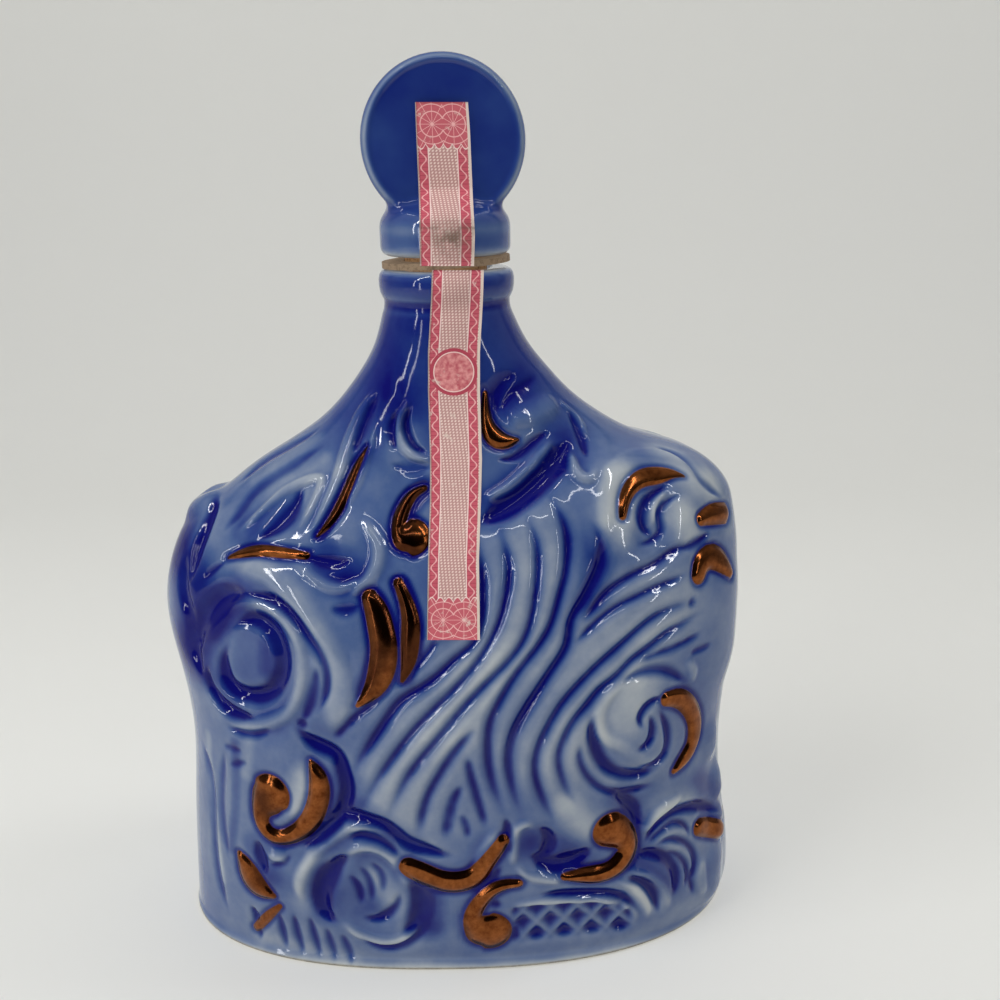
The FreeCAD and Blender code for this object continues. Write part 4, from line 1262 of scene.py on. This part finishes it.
def area_light(name, place, target, width, height, power, soft=False):
    """A rectangular light at a place, facing a target, in metres and watts.

    A soft one throws a shadow and isn't mirrored in the glaze, the others are only mirrored and brighten.
    """
    data = bpy.data.lights.new(name, "AREA")
    data.shape = "RECTANGLE"
    data.size = width
    data.size_y = height
    data.energy = power
    data.use_shadow = soft
    made = bpy.data.objects.new(name, data)
    made.visible_glossy = not soft
    made.location = place
    made.rotation_euler = (Vector(target) - Vector(place)).to_track_quat("-Z", "Y").to_euler()
    bpy.context.scene.collection.objects.link(made)


def room(tree):
    """Light of the room: bright overhead, dim towards the camera's side."""
    place = tree.nodes.new("ShaderNodeTexCoord")
    parts = tree.nodes.new("ShaderNodeSeparateXYZ")
    tree.links.new(place.outputs["Generated"], parts.inputs[0])
    shares = []
    for axis, low, high, least, most in (("Z", -0.1, 0.7, 0.17, 0.44), ("Y", -0.7, 0.2, 0.05, 1.0)):
        node = tree.nodes.new("ShaderNodeMapRange")
        tree.links.new(parts.outputs[axis], node.inputs["Value"])
        for name, value in (("From Min", low), ("From Max", high), ("To Min", least), ("To Max", most)):
            node.inputs[name].default_value = value
        shares.append(node.outputs["Result"])
    product = tree.nodes.new("ShaderNodeMath")
    product.operation = "MULTIPLY"
    for share, target in zip(shares, product.inputs):
        tree.links.new(share, target)
    background = tree.nodes["Background"]
    background.inputs["Color"].default_value = (1.0, 1.0, 0.98, 1)
    tree.links.new(product.outputs[0], background.inputs["Strength"])


def make_stage():
    """Pale sweep under and behind the object, soft boxes and a bright frame of thin lights overhead."""
    profile = [(SWEEP_NEAR, 0.0), (SWEEP_BEND, 0.0)]
    for angle in np.radians(90 * np.arange(1, 13) / 12):
        profile.append((SWEEP_BEND + SWEEP_RADIUS * math.sin(angle), SWEEP_RADIUS * (1 - math.cos(angle))))
    profile.append((SWEEP_BEND + SWEEP_RADIUS, SWEEP_TOP))
    sides = (-SWEEP_HALF, SWEEP_HALF)
    points = np.array([(side, along, up) for along, up in profile for side in sides]) / MM
    sweep = make_object("studio_sweep", points, grid_faces(len(profile), 2, False))
    shader = Shader("studio_white")
    shader.surface(Base_Color=linear(236, 236, 232), Roughness=0.9)
    sweep.data.materials.append(shader.material)

    world = bpy.data.worlds.new("studio")
    world.use_nodes = True
    room(world.node_tree)
    bpy.context.scene.world = world
    middle = (0, 0, 0.1)
    area_light("bar_near", (0.0, -0.70, 0.80), middle, 0.70, 0.03, 0.8)
    area_light("bar_left", (-0.42, -0.35, 0.80), middle, 0.03, 0.60, 2.2)
    area_light("bar_right", (0.42, -0.35, 0.80), middle, 0.03, 0.60, 1.4)
    area_light("window_left", (-1.2, -0.9, 0.50), middle, 0.05, 0.8, 2.2)
    area_light("window_right", (1.1, -1.0, 0.45), middle, 0.04, 0.6, 1.1)
    area_light("window_low", (-0.50, -0.55, 0.17), middle, 0.03, 0.30, 0.25)
    area_light("wall_wash", (0.9, 0.15, 0.9), (-0.3, 0.7, 0.35), 0.4, 0.4, 2.4, soft=True)
    area_light("soft_left", (-0.9, -0.5, 1.0), middle, 0.7, 0.7, 4.6, soft=True)


bpy.context.scene.view_settings.view_transform = "Standard"
make_camera()
make_stage()

bottle = make_bottle()
bottle.data.materials.append(glaze_material())
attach(bottle, "bottle")
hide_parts("decanter_body")

stopper = make_stopper()
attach(stopper, "stopper")
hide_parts("stopper_head")

upper, across, along = make_strip(
    "paper_upper", tree_of(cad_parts["strip_upper"]), UPPER_LEFT, UPPER_RIGHT, *UPPER_SPAN)
far = np.full_like(along, 99.0)
spot = np.linspace(*UPPER_SPAN, len(along))[:, None] + 0 * along
smudge_and_crease_shade = np.exp(-((spot - STAIN_BELOW) / STAIN_REACH) ** 2 - ((across - STAIN_ACROSS) / STAIN_HALF) ** 2)
# Painted shade: a dark line right across the strip along its crease.
smudge_and_crease_shade = np.maximum(smudge_and_crease_shade, CREASE_SHADE_SHARE * np.exp(-((spot - CREASE_SHADE_BELOW) / CREASE_SHADE_REACH) ** 2))
dress_strip(upper, across, along, along, far, smudge_and_crease_shade)
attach(upper, "stopper")
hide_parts("strip_upper")

lower, across, along = make_strip(
    "paper_lower", tree_of(bottle), LOWER_LEFT, LOWER_RIGHT, *LOWER_SPAN, LOWER_TAUT)
middle_row = int((RING_BELOW - LOWER_SPAN[0]) / (LOWER_SPAN[1] - LOWER_SPAN[0]) * (len(along) - 1))
dress_strip(lower, across, along, along[-1, 0] - along, along - along[middle_row, 0], 0 * along)
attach(lower, "bottle")
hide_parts("strip_lower")

for node, material in (
    ("stopper_cork", cork_material("cork", linear(186, 142, 96), linear(112, 72, 42))),
    ("cork_washer", cork_material("washer_board", linear(146, 124, 100), linear(104, 86, 66))),
):
    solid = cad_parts[node]
    solid.data.materials.clear()
    solid.data.materials.append(material)
